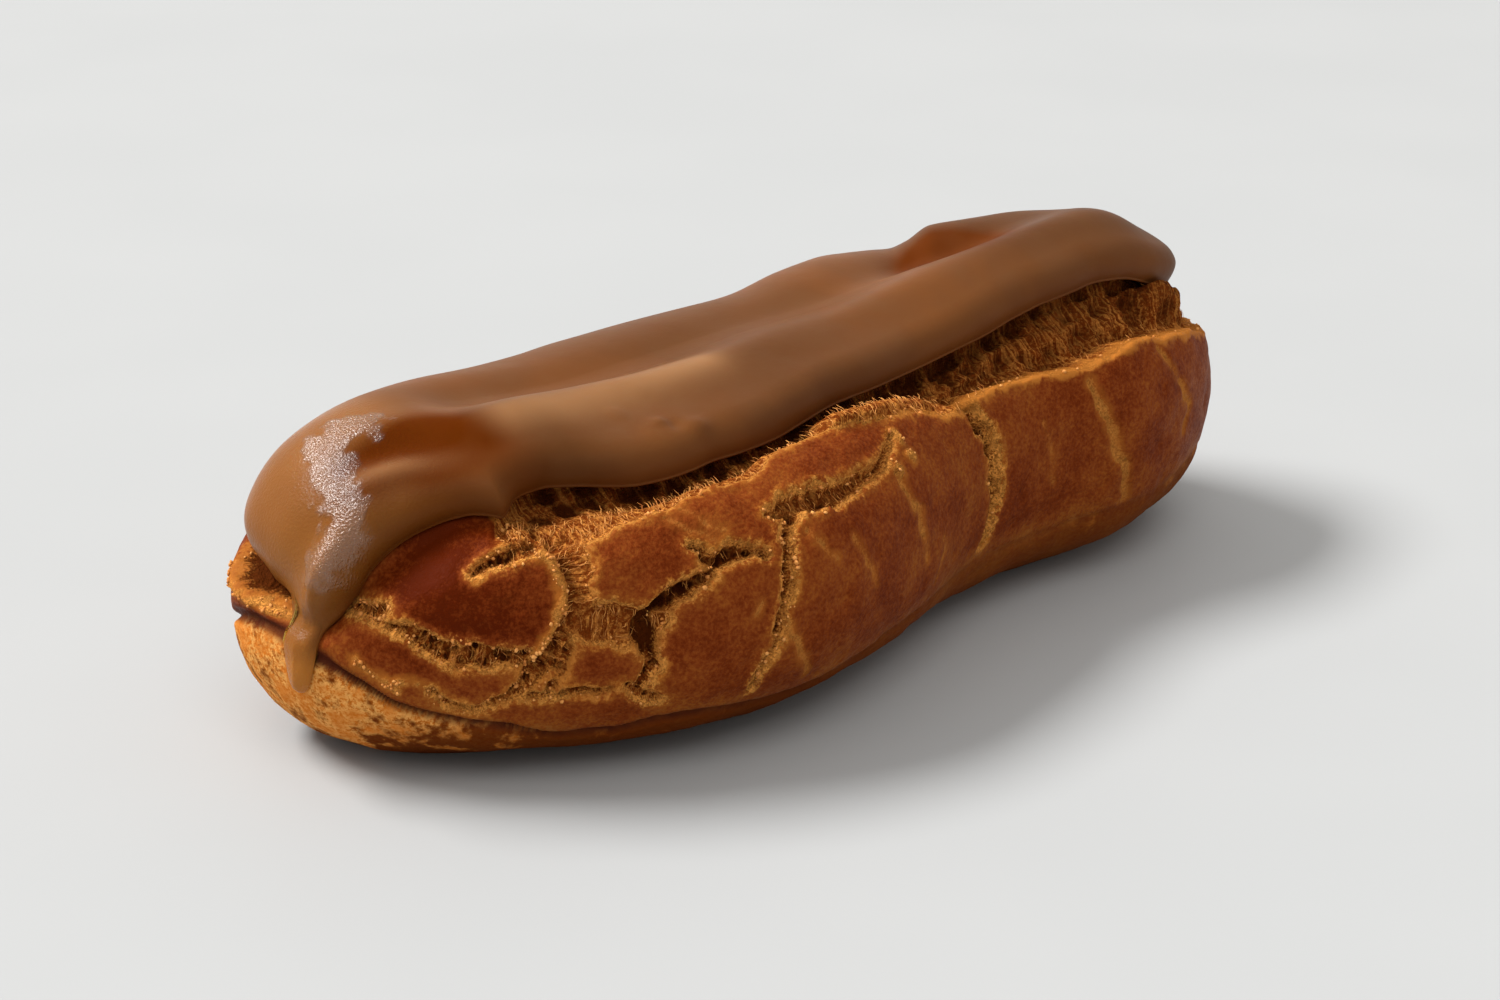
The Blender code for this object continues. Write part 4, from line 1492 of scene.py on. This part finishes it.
        push = free * rising * (lumps - self.puff * closed * (1.0 - foot) + brow + flap)
        push = push + free * (0.9 * reading.raised * (0.6 + 0.4 * np.clip(1.0 + small, 0.0, 2.0)))
        push = push - free * (reading.deep + 0.75 * pits + strands + torn_lumps)
        push = push - seam_depth * crease * (1.0 - 0.7 * under_drip) + bulge
        push = push - free * (foot_pits + freckles) - room - 0.12 * under_drip
        push = push - self._groove_depth(groove)
        self._note_marks(x, turn, coarse, pits, foot)
        self.marks["crease"] = np.clip(1.8 * crease, 0.0, 1.0) * np.clip(seam_depth * 0.85, 0.0, 0.92)
        return np.where(latitude <= base + self.flat_edge, 0.0, push)

    def _note_marks(self, x: Array, turn: Array, coarse: Array, pits: Array, foot: Array) -> None:
        """Note the marks that the finish reads.

        Args:
            x: mm along the eclair, below 0 at the near end.
            turn: degrees round from the near tip, below 0 on the back.
            coarse: the widest lumps.
            pits: how deep in a pit each point is.
            foot: how much it belongs to the foot.
        """
        heading, latitude, reading = self.heading, self.latitude, self.reading
        seam, base = self.seam, self.base
        dark_plate = bell(heading, 33.0, 11.0) * ease(-6.0, 8.0, latitude) * ease(62.0, 48.0, heading)
        heart = ease(0.2, 1.7, reading.edge)
        brown = (0.18 + 0.32 * heart + 0.56 * dark_plate * heart + 0.08 * coarse
                 - 0.22 * ease(seam + 11.0, seam + 2.0, latitude) * ease(7.0, 17.0, np.abs(turn)))
        pale_foot = ease(76.0, 104.0, np.minimum(heading, FULL_TURN - heading))
        # painted shade: low darkens the foot towards the base, shaded darkens the lower band of the front
        low = ease(base + 24.0, base + 6.0, latitude)
        near_end = ease(-30.0, -62.0, x)
        shaded = ease(10.0, 26.0, turn) * ease(-16.0, -28.0, latitude)
        foot_brown = 1.10 - 0.94 * near_end + 0.80 * low + 0.65 * shaded - 0.3 * pale_foot
        far_gold = pale_foot * ease(seam + 6.0, seam - 4.0, latitude + 3.0 * coarse)
        # painted shade: how dark the crumb is painted in pits, holes, sunk cracks, between the webs, at
        # the groove's inner end under the icing and on its far wall
        deep = (0.55 * pits + 0.9 * reading.hollow + 0.62 * ease(0.45, 1.5, reading.deep)
                + 0.55 * self.caves * (1.0 - 0.45 * self.walled) + 0.36 * self.inward + 0.16 * self.walled)
        brink = bell(self.below, 0.1, 1.1) * self.has_groove
        self.marks = {
            "edge": np.clip(reading.edge, -4.0, 6.0),
            "line": np.clip(reading.line, -1.0, 6.0),
            "along": reading.along,
            "pale": reading.pale,
            "line_pale": reading.line_pale,
            "deep": np.clip(deep, 0.0, 1.2),
            "pocked": np.maximum(reading.pits, 0.5 * reading.fibre * ease(-0.4, -1.2, reading.edge)),
            "hollow": reading.hollow,
            "brink": brink * ease(80.0, 98.0, heading) * ease(260.0, 220.0, heading),
            "foot": np.maximum(foot * (1.0 - pale_foot), 0.55 * far_gold),
            "foot_brown": np.clip(foot_brown, 0.0, 1.5),
            "brown": np.clip(brown, 0.0, 1.2),
        }

    def build(self) -> bpy.types.Object:
        """Make the crust.

        Returns:
            The crust's object, in the crust solid's place.
        """
        self.skin = self.smooth + self.outward * self._shape()[..., None]
        on_base = self.latitude <= self.base + self.flat_edge
        self.skin[..., 2] = np.where(on_base, 0.0, np.maximum(self.skin[..., 2], 0.0))
        piece = RingBody("choux_crust", self.skin, self.row_share, self.marks).build()
        dress(piece, BakedCrustFinish().material(), "choux", "choux_shell")
        return piece


def joined_piece(name: str, points: list[Array], faces: list[list[Array]]) -> bpy.types.Object:
    """Make one object out of many small closed bodies.

    Args:
        name: the object's name.
        points: each body's points in mm.
        faces: each body's faces, by its own point numbers.

    Returns:
        The new object, linked to the scene.
    """
    starts = np.cumsum([0] + [len(p) for p in points[:-1]])
    all_faces = [tuple(int(corner) for corner in face + start)
                 for start, body in zip(starts, faces) for face in body]
    mesh = bpy.data.meshes.new(name)
    mesh.from_pydata((np.concatenate(points) * MM).tolist(), [], all_faces)
    mesh.shade_smooth()
    piece = bpy.data.objects.new(name, mesh)
    bpy.context.scene.collection.objects.link(piece)
    return piece


@dataclass
class CrumbStrands:
    """Thin strands of crumb that bridge the tears."""

    crust: ChouxCrust
    count: int = 900
    half_length: Pair = (0.4, 1.1)    # mm
    radius: Pair = (0.028, 0.060)
    arch: Pair = (0.05, 0.35)
    rings: int = 6
    sides: int = 3
    seed: int = 41

    def _tube(self) -> list[Array]:
        """Join the rings of one strand and close its ends.

        Returns:
            The faces, by the strand's own point numbers.
        """
        faces = []
        for ring in range(self.rings - 1):
            low, high = ring * self.sides, (ring + 1) * self.sides
            for k in range(self.sides):
                nxt = (k + 1) % self.sides
                faces.append(np.array([low + k, low + nxt, high + nxt, high + k]))
        faces.append(np.arange(self.sides)[::-1])
        faces.append((self.rings - 1) * self.sides + np.arange(self.sides))
        return faces

    def build(self) -> bpy.types.Object:
        """Make the strands.

        Returns:
            The strands' object.
        """
        generator = np.random.default_rng(self.seed)
        crust, reading = self.crust, self.crust.reading
        open_ground = (reading.fibre + 0.5 * reading.pits) * (crust.latitude < crust.lip - 2.0)
        open_ground = open_ground * (1.0 - 0.9 * crust.walled)
        weight = (open_ground * (reading.edge > -4.5)).ravel()
        share = np.linspace(-1.0, 1.0, self.rings)
        angle = np.arange(self.sides) * 2.0 * math.pi / self.sides
        points = []
        for place in generator.choice(len(weight), self.count, p=weight / weight.sum()):
            centre = crust.skin.reshape(-1, 3)[place]
            normal = crust.outward.reshape(-1, 3)[place]
            across = reading.across.reshape(-1, 3)[place] + generator.normal(0.0, 0.35, 3)
            across = unit(across - (across @ normal) * normal)
            side = np.cross(across, normal)
            reach = generator.uniform(*self.half_length)
            arch = generator.uniform(*self.arch)
            thick = generator.uniform(*self.radius)
            spine = (centre + np.outer(share * reach, across)
                     + np.outer(0.03 + arch * (1.0 - share**2), normal)
                     + np.outer(generator.normal(0.0, 0.06, self.rings), side))
            girth = thick * (1.0 - 0.75 * np.abs(share) ** 3)
            around = np.cos(angle)[:, None] * normal + np.sin(angle)[:, None] * side
            points.append((spine[:, None, :] + girth[:, None, None] * around).reshape(-1, 3))
        piece = joined_piece("crumb_strands", points, [self._tube()] * self.count)
        finish = CrumbFinish("pale_crumb", (0.84, 0.38, 0.090), (0.36, 0.098, 0.014))
        dress(piece, finish.material(), "choux")
        return piece


@dataclass
class LooseCrumbs:
    """Small crumbs that stand along the torn edges."""

    crust: ChouxCrust
    count: int = 1100
    size: Pair = (0.09, 0.30)    # mm
    seed: int = 57

    def build(self) -> bpy.types.Object:
        """Make the crumbs.

        Returns:
            The crumbs' object.
        """
        generator = np.random.default_rng(self.seed)
        crust, reading = self.crust, self.crust.reading
        outside = crust.latitude < crust.lip - 1.5
        along_edge = bell(reading.edge, -0.1, 0.35) * (0.3 + reading.pale) * (1.0 - reading.hollow)
        along_line = 1.6 * bell(reading.line, -0.1, 0.4) * (reading.raised > 0.05)
        weight = ((along_edge + along_line) * outside).ravel()
        golden = (1.0 + math.sqrt(5.0)) / 2.0
        corners = unit(np.array([(-1, golden, 0), (1, golden, 0), (-1, -golden, 0), (1, -golden, 0),
                                 (0, -1, golden), (0, 1, golden), (0, -1, -golden), (0, 1, -golden),
                                 (golden, 0, -1), (golden, 0, 1), (-golden, 0, -1), (-golden, 0, 1)]))
        sides = np.array([(0, 11, 5), (0, 5, 1), (0, 1, 7), (0, 7, 10), (0, 10, 11), (1, 5, 9), (5, 11, 4),
                          (11, 10, 2), (10, 7, 6), (7, 1, 8), (3, 9, 4), (3, 4, 2), (3, 2, 6), (3, 6, 8),
                          (3, 8, 9), (4, 9, 5), (2, 4, 11), (6, 2, 10), (8, 6, 7), (9, 8, 1)])
        points = []
        for place in generator.choice(len(weight), self.count, p=weight / weight.sum()):
            size = self.size[0] + (self.size[1] - self.size[0]) * generator.random() ** 2.2
            centre = crust.skin.reshape(-1, 3)[place]
            centre = centre + crust.outward.reshape(-1, 3)[place] * size * 0.35
            stretch = generator.uniform(0.6, 1.25, 3)
            dents = generator.uniform(0.75, 1.2, (12, 1))
            points.append(centre + corners * dents * stretch * size)
        piece = joined_piece("loose_crumbs", points, [list(sides)] * self.count)
        finish = CrumbFinish("toasted_crumb", (0.76, 0.35, 0.095), (0.54, 0.19, 0.036), 1.6)
        dress(piece, finish.material(), "choux")
        return piece


@dataclass(frozen=True)
class Swell:
    """A soft swelling of the icing, or a hollow if its height is below 0."""

    heading: float
    latitude: float
    height: float
    around: float          # half-width round the plan, mm
    upward: float          # half-width up the section, mm
    turn: float = 0.0      # degrees that its length leans
    steep: float = 1.0     # above 1 gives it a flatter top and steeper sides

    def over(self, form: EclairForm, points: Array) -> Array:
        """The swelling's height at each point.

        Args:
            form: the smooth form.
            points: places in mm.

        Returns:
            Heights in mm.
        """
        heading = np.array([self.heading])
        latitude = np.array([self.latitude])
        centre = form.point(heading, latitude)[0]
        normal = form.outward(heading, latitude)[0]
        upward = unit(form.point(heading, latitude + 1.0)[0] - centre)
        sideways = np.cross(upward, normal)
        angle = math.radians(self.turn)
        long_axis = upward * math.cos(angle) + sideways * math.sin(angle)
        short_axis = sideways * math.cos(angle) - upward * math.sin(angle)
        reach = points - centre
        spread = (reach @ short_axis / self.around) ** 2 + (reach @ long_axis / self.upward) ** 2
        spread = spread + (reach @ normal / (2.0 * max(self.around, self.upward))) ** 2
        return self.height * np.exp(-(spread**self.steep))


@dataclass
class FondantCoat:
    """The icing: a thick coat with a rounded lip, a long ridge and valley, and a drip."""

    form: EclairForm
    columns: int = 720
    outer_rows: int = 84
    edge_rows: int = 9
    under_rows: int = 8
    top_latitude: float = 88.5
    crowding: float = 1.4
    drip_thickness: float = 1.3
    drip_heading: Pair = (9.0, 4.5)    # its middle and half width, degrees
    lip_radius: float = 4.2
    lip_start: float = 0.006
    rest_gap: float = 0.12
    neighbours: int = 46
    focus: Stations = default({0: 2.2, 5: 3.2, 14: 3.2, 20: 1.8, 44: 1.3, 60: 1.0, 180: 0.85})
    seed: int = 23
    ridge_line: Stations = default({
        -60: -10.5, -50: -9.2, -40: -8.6, -16: -8.8, 0: -7.0, 20: -6.2, 34: -5.2, 60: -4.6})
    ridge_height: Stations = default({
        -60: 0.0, -50: 0.5, -42: 1.2, -30: 1.3, -14: 0.9, 8: 0.8, 30: 1.2, 50: 1.0, 66: 0.0})
    valley_depth: Stations = default({
        -60: 0.0, -52: 0.5, -42: 2.1, -32: 2.1, -18: 1.6, 2: 1.2, 14: 1.4, 24: 1.5, 35: 2.6,
        48: 1.3, 66: 0.0})
    crown: Stations = default({
        -4: 0.0, 3: 0.5, 7: 0.4, 11: -0.3, 14: -1.0, 16.5: -1.5, 18.5: -1.0, 22: 0.3, 26: 0.1, 30: 0.0})
    # the ridge's crest, along which a lighter colour is painted as highlight
    pale_crest: Course = (
        (-44.0, -9.6, 36.4), (-37.0, -10.2, 36.0), (-29.0, -9.8, 35.7), (-16.0, -8.2, 35.7))
    streak: Course = (
        (-57.5, -1.5, 36.4), (-61.0, 0.2, 34.8), (-62.9, -3.8, 33.3), (-64.0, -6.5, 31.4),
        (-64.6, -9.0, 29.6), (-65.6, -9.6, 27.8), (-67.0, -8.8, 25.4))
    swells: tuple[Swell, ...] = (
        Swell(6, 42, 1.0, 4.2, 9.0, 10.0),
        Swell(12, 52, -1.3, 3.0, 5.8, 38.0),
        Swell(18.5, 49, 1.0, 2.6, 5.5, 50.0),
        Swell(25, 58, -0.6, 3.2, 5.0, 50.0),
        Swell(13.0, 14, 1.3, 2.0, 4.6, 4.0, 1.7),
        Swell(14.4, 28, 0.9, 2.4, 7.0, 16.0),
        Swell(6.8, 16, -0.35, 3.2, 7.0, 8.0),
        Swell(350, 30, 0.4, 6.0, 8.0),
        Swell(172, 40, 1.3, 12.0, 6.0),
        Swell(64.5, 64.5, 0.35, 1.0, 0.9),
        Swell(69.5, 61.5, 0.40, 1.5, 1.3),
        Swell(66.5, 63.0, -0.25, 1.0, 1.0),
    )
    # painted highlight: a lighter colour on the second crest by the dome
    second_crest: Swell = Swell(18.5, 49, 0.55, 1.5, 5.0, 50.0)
    # where the coat is thin, amber that is darkened as painted shade in the hollows: how much, then the
    # middle and half width along and across, in mm
    thin_spots: Course = (
        (2.50, 34.5, 7.0, 2.5, 5.0), (0.90, -61.5, 3.0, -7.0, 3.0), (1.70, -54.5, 4.8, -8.5, 4.6),
        (0.70, -49.0, 6.0, -12.0, 5.0))

    def _relief(self, points: Array, latitude: Array) -> Array:
        """Work out the long ridge and valley, the hump, the swellings and the wrinkles.

        Args:
            points: the form's points.
            latitude: the latitude of each.

        Returns:
            How far they stand out, in mm.
        """
        local = points - self.form.shift
        x, y = local[..., 0], local[..., 1]
        on_top = ease(48.0, 70.0, latitude)
        ridge_y = read_at(self.ridge_line, x)
        ridge = read_at(self.ridge_height, x) * bell(y, ridge_y, 3.8)
        valley = read_at(self.valley_depth, x) * bell(y, ridge_y + 8.2, 4.4)
        crown = read_at(self.crown, 0.74 * x - 0.67 * y) * ease(-1.0, 6.0, y)
        noise = GrainNoise(self.seed)
        soft = 0.26 * noise.plain(points, 16.0) + 0.10 * noise.plain(points, (9.0, 5.0, 5.0))
        wrinkles = 0.10 * noise.plain(points, (3.0, 7.0, 7.0)) * bell(x, -37.0, 6.0) * bell(y, 2.0, 5.0)
        bumps = 0.14 * ease(0.42, 0.1, noise.bubbles(points, 4.2))
        bumps = bumps * bell(x, -31.0, 5.0) * bell(y, -13.0, 5.0)
        total = on_top * (ridge - valley) + crown * ease(35.0, 60.0, latitude)
        total = total + soft + wrinkles + bumps
        for swell in self.swells:
            total = total + swell.over(self.form, points)
        return total

    def _from_lip(self, points: Array, lip_points: Array) -> Array:
        """Distance of every point from the icing's lower edge, in mm.

        Args:
            points: rows of points on the form.
            lip_points: the lower edge, one point a column.

        Returns:
            Distances, rows by columns.
        """
        nearest = np.full(points.shape[:2], np.inf)
        for offset in range(-self.neighbours, self.neighbours + 1):
            start = np.roll(lip_points, -offset, axis=0)
            along = np.roll(lip_points, -offset - 1, axis=0) - start
            reach = points - start
            t = np.sum(reach * along, axis=-1) / np.maximum(np.sum(along * along, axis=-1), 1e-9)
            t = np.clip(t, 0.0, 1.0)
            nearest = np.minimum(nearest, np.linalg.norm(reach - t[..., None] * along, axis=-1))
        return nearest

    def _marks(self, points: Array, heading: Array, latitude: Array,
               fill: Array) -> dict[str, Array]:
        """Work out the marks that the finish reads.

        Args:
            points: the form's points.
            heading: the heading of each.
            latitude: the latitude of each.
            fill: 0 at the lip, 1 where the coat is whole.

        Returns:
            The marks by name.
        """
        local = points - self.form.shift
        x, y = local[..., 0], local[..., 1]
        noise = GrainNoise(self.seed + 1)
        at_drip = bell(heading, *self.drip_heading)
        wet = ease(-48.0, -60.0, x + 4.0 * noise.plain(points, 9.0))
        streak = ease(3.2, 0.8, path_distance(local, self.streak) + 1.7 * noise.layered(points, 2.2, 3))
        # painted highlight: a lighter colour along the ridge's crest and the second crest by the dome
        crest = 0.75 * bell(path_distance(local, self.pale_crest), 0.0, 3.0)
        crest = crest + self.second_crest.over(self.form, points)
        shade = (0.60 * bell(x, -8.0, 20.0)
                 + ease(22.0, 40.0, x) * ease(-13.0, -4.0, y)
                 + 1.2 * bell(x, -45.0, 8.0) * ease(-4.0, -9.0, y))
        # amber where the coat is thin, and painted shade in the coat's hollows
        thin = sum(strength * bell(x, middle_x, half_x) * bell(y, middle_y, half_y)
                   for strength, middle_x, half_x, middle_y, half_y in self.thin_spots)
        thin = thin + 0.25 * ease(-52.0, -62.0, x) + 0.20 * at_drip * ease(4.0, -6.0, latitude)
        thin = thin + 0.40 * (1.0 - fill) * (1.0 - bell(heading, 7.5, 6.0))
        # the drip below the lip is painted lighter, as painted light
        return {"wet": wet, "streak": streak, "crest": crest, "thin": np.clip(thin, 0.0, 1.0),
                "tongue": at_drip * ease(3.5, -3.0, latitude), "shade": np.clip(shade, 0.0, 1.0)}

    def build(self) -> bpy.types.Object:
        """Make the icing.

        Returns:
            The icing's object, in the icing solid's place.
        """
        form = self.form
        ring = form.even_headings(self.columns, self.focus)
        lip = read_at(form.lip_latitude, ring)
        to_top = np.linspace(0.0, 1.0, self.outer_rows)[1:, None] ** self.crowding
        inner = lip + (self.top_latitude - lip) * np.linspace(0.6, 0.0, self.under_rows)[:, None]
        outer = lip + (self.top_latitude - lip) * to_top
        latitude = np.concatenate([inner, np.repeat(lip[None, :], self.edge_rows, axis=0), outer])
        part = np.concatenate([np.zeros(self.under_rows), np.linspace(0.0, 1.0, self.edge_rows),
                               np.ones(self.outer_rows - 1)])[:, None]
        shares = np.concatenate([np.linspace(0.0, 0.04, self.under_rows),
                                 np.linspace(0.05, 0.10, self.edge_rows),
                                 np.linspace(0.11, 1.0, self.outer_rows - 1)])
        heading = np.broadcast_to(ring, latitude.shape).copy()
        points = form.point(heading, latitude)
        outward = form.outward(heading, latitude)
        rim = read_at(form.rim_latitude, heading)
        slope = read_at(form.rim_slope, heading)
        from_lip = self._from_lip(points, form.point(ring, lip))
        at_drip = bell(heading, *self.drip_heading)
        over_side = ease(-2.0, 26.0, latitude)
        on_coat = over_side + (ease(3.6, 8.5, latitude) - over_side) * at_drip
        under = form.icing_thickness * ease(rim - slope, rim, latitude) - self.rest_gap * (1.0 - on_coat)
        full = self.drip_thickness + (form.icing_thickness - self.drip_thickness) * on_coat
        start = self.lip_start
        fill = 1.0 - np.clip(1.0 - from_lip / self.lip_radius, 0.0, 1.0) ** 2
        thickness = full * np.sqrt(start + (1.0 - start) * fill)
        swing = math.pi * (part - 0.5)
        out = -under + thickness * (0.5 + 0.5 * np.sin(swing))
        relief = self._relief(points, latitude) * part * ease(0.0, 2.5, from_lip + 0.6)
        down = unit(form.point(heading, lip - 0.5) - form.point(heading, lip + 0.5))
        on_edge = (part > 0.0) & (part < 1.0)
        bulge = np.where(on_edge, np.cos(swing) * thickness / 2, 0.0)
        placed = points + outward * (out + relief)[..., None] + down * bulge[..., None]
        marks = self._marks(points, heading, latitude, fill)
        piece = RingBody("fondant_coat", placed, shares, marks).build()
        dress(piece, FondantFinish().material(), "fondant", "icing")
        return piece


# ---- setting


@dataclass
class Studio:
    """The pale floor, the soft lights and the camera."""

    floor_half: float = 2.5
    floor_colour: Colour = (0.405, 0.415, 0.422)
    aim: Triple = (23.3, 25.8, 0.0)      # mm, before the form is slid
    azimuth: float = -42.4        # degrees from facing along +Y
    elevation: float = 21.1
    roll: float = -1.28
    distance: float = 442.3       # mm
    lens: float = 81.6            # mm, for a 36 mm wide sensor
    glow_back: float = 0.74
    glow_front: float = 0.58
    glow_spread: Pair = (-0.7, 0.9)
    floor_drop: float = 0.0002    # m, so that the base and the floor don't share a plane

    def floor(self) -> None:
        """Lay the floor at the base's height."""
        mesh = bpy.data.meshes.new("floor")
        half = self.floor_half
        corners = [(-half, -half, 0.0), (half, -half, 0.0), (half, half, 0.0), (-half, half, 0.0)]
        mesh.from_pydata(corners, [], [(0, 1, 2, 3)])
        floor = bpy.data.objects.new("floor", mesh)
        floor.location.z = -self.floor_drop
        bpy.context.scene.collection.objects.link(floor)
        board = NodeBoard("pale_floor")
        tone = board.noise(60.0, 2.0, 0.5)
        colour = board.blend(board.span(tone, 0.3, 0.7, 0.0, 0.03), self.floor_colour, (0.7, 0.7, 0.7))
        board.finish("Base Color", colour)
        board.finish("Roughness", 0.45)
        board.finish("Specular IOR Level", 0.05)
        mesh.materials.append(board.material)

    def _direction(self, azimuth: float, elevation: float) -> Vector:
        """Find the direction towards a place.

        Args:
            azimuth: degrees leftward round from the camera.
            elevation: degrees above the floor.

        Returns:
            The unit vector.
        """
        around = math.radians(self.azimuth - 90.0 - azimuth)
        up = math.radians(elevation)
        return Vector((math.cos(around) * math.cos(up), math.sin(around) * math.cos(up), math.sin(up)))

    def light(self, name: str, azimuth: float, elevation: float, distance: float, size: float,
              power: float, colour: Colour, tall: float = 1.0) -> None:
        """Hang one soft area light that faces the eclair.

        Args:
            name: the light's name.
            azimuth: degrees leftward round from the camera.
            elevation: degrees above the floor.
            distance: metres from the eclair.
            size: width in metres.
            power: in watts.
            colour: its tint.
            tall: its height against its width.
        """
        lamp = bpy.data.lights.new(name, "AREA")
        lamp.shape = "ELLIPSE"
        lamp.size = size
        lamp.size_y = size * tall
        lamp.energy = power
        lamp.color = colour
        holder = bpy.data.objects.new(name, lamp)
        direction = self._direction(azimuth, elevation)
        holder.location = direction * distance
        holder.rotation_euler = direction.to_track_quat("Z", "Y").to_euler()
        bpy.context.scene.collection.objects.link(holder)

    def room(self) -> None:
        """Set the room's glow: bright behind the eclair, dim behind the camera."""
        world = bpy.data.worlds.new("room")
        world.use_nodes = True
        tree = world.node_tree
        glow = tree.nodes["Background"]
        glow.inputs["Color"].default_value = (1.0, 0.975, 0.935, 1.0)
        place = tree.nodes.new("ShaderNodeTexCoord")
        facing = tree.nodes.new("ShaderNodeVectorMath")
        facing.operation = "DOT_PRODUCT"
        facing.inputs[1].default_value = self._direction(130.0, 30.0)
        tree.links.new(place.outputs["Generated"], facing.inputs[0])
        ramp = tree.nodes.new("ShaderNodeMapRange")
        ramp.interpolation_type = "SMOOTHSTEP"
        for number, value in enumerate((*self.glow_spread, self.glow_front, self.glow_back), start=1):
            ramp.inputs[number].default_value = value
        tree.links.new(facing.outputs["Value"], ramp.inputs["Value"])
        tree.links.new(ramp.outputs["Result"], glow.inputs["Strength"])
        bpy.context.scene.world = world

    def lights(self) -> None:
        """Hang a window's light to the left and a little behind, and a weak fill, and light the room."""
        self.light("window", azimuth=101.0, elevation=50.0, distance=8.0, size=5.0, power=900.0,
                   colour=(1.0, 0.985, 0.965), tall=0.50)
        self.light("fill", azimuth=-10.0, elevation=55.0, distance=2.4, size=1.6, power=14.0,
                   colour=(1.0, 0.98, 0.95))
        self.room()

    def camera(self, shift: Array) -> None:
        """Set up the camera.

        Args:
            shift: how far the form was slid, in mm.
        """
        data = bpy.data.cameras.new("camera")
        data.lens = self.lens
        data.sensor_width = 36.0
        data.dof.use_dof = False
        data.clip_start = 0.01
        camera = bpy.data.objects.new("camera", data)
        ahead = -self._direction(0.0, self.elevation)
        aim = Vector([a + s for a, s in zip(self.aim, shift)]) * MM
        right = ahead.cross(Vector((0.0, 0.0, 1.0))).normalized()
        level_up = right.cross(ahead)
        tilt = math.radians(self.roll)
        camera_up = level_up * math.cos(tilt) + right * math.sin(tilt)
        camera_right = ahead.cross(camera_up)
        turn = Matrix((camera_right, camera_up, -ahead)).transposed()
        camera.matrix_world = Matrix.Translation(aim - ahead * self.distance * MM) @ turn.to_4x4()
        bpy.context.scene.collection.objects.link(camera)
        bpy.context.scene.camera = camera


def report(piece: bpy.types.Object) -> None:
    """Log a piece's name and size."""
    size = [round(side / MM, 1) for side in piece.dimensions]
    logger.info("%s: %d faces, %s mm", piece.name, len(piece.data.polygons), size)


def main() -> None:
    """Build the eclair and its setting, piece by piece."""
    logging.basicConfig(level=logging.INFO)
    form = EclairForm()
    form.settle_on(*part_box("choux_shell"))
    crust = ChouxCrust(form)
    report(crust.build())
    report(CrumbStrands(crust).build())
    report(LooseCrumbs(crust).build())
    report(FondantCoat(form).build())
    studio = Studio()
    studio.floor()
    studio.lights()
    studio.camera(form.shift)
    bpy.context.scene.view_settings.view_transform = "Standard"


if __name__ == "__main__":
    main()
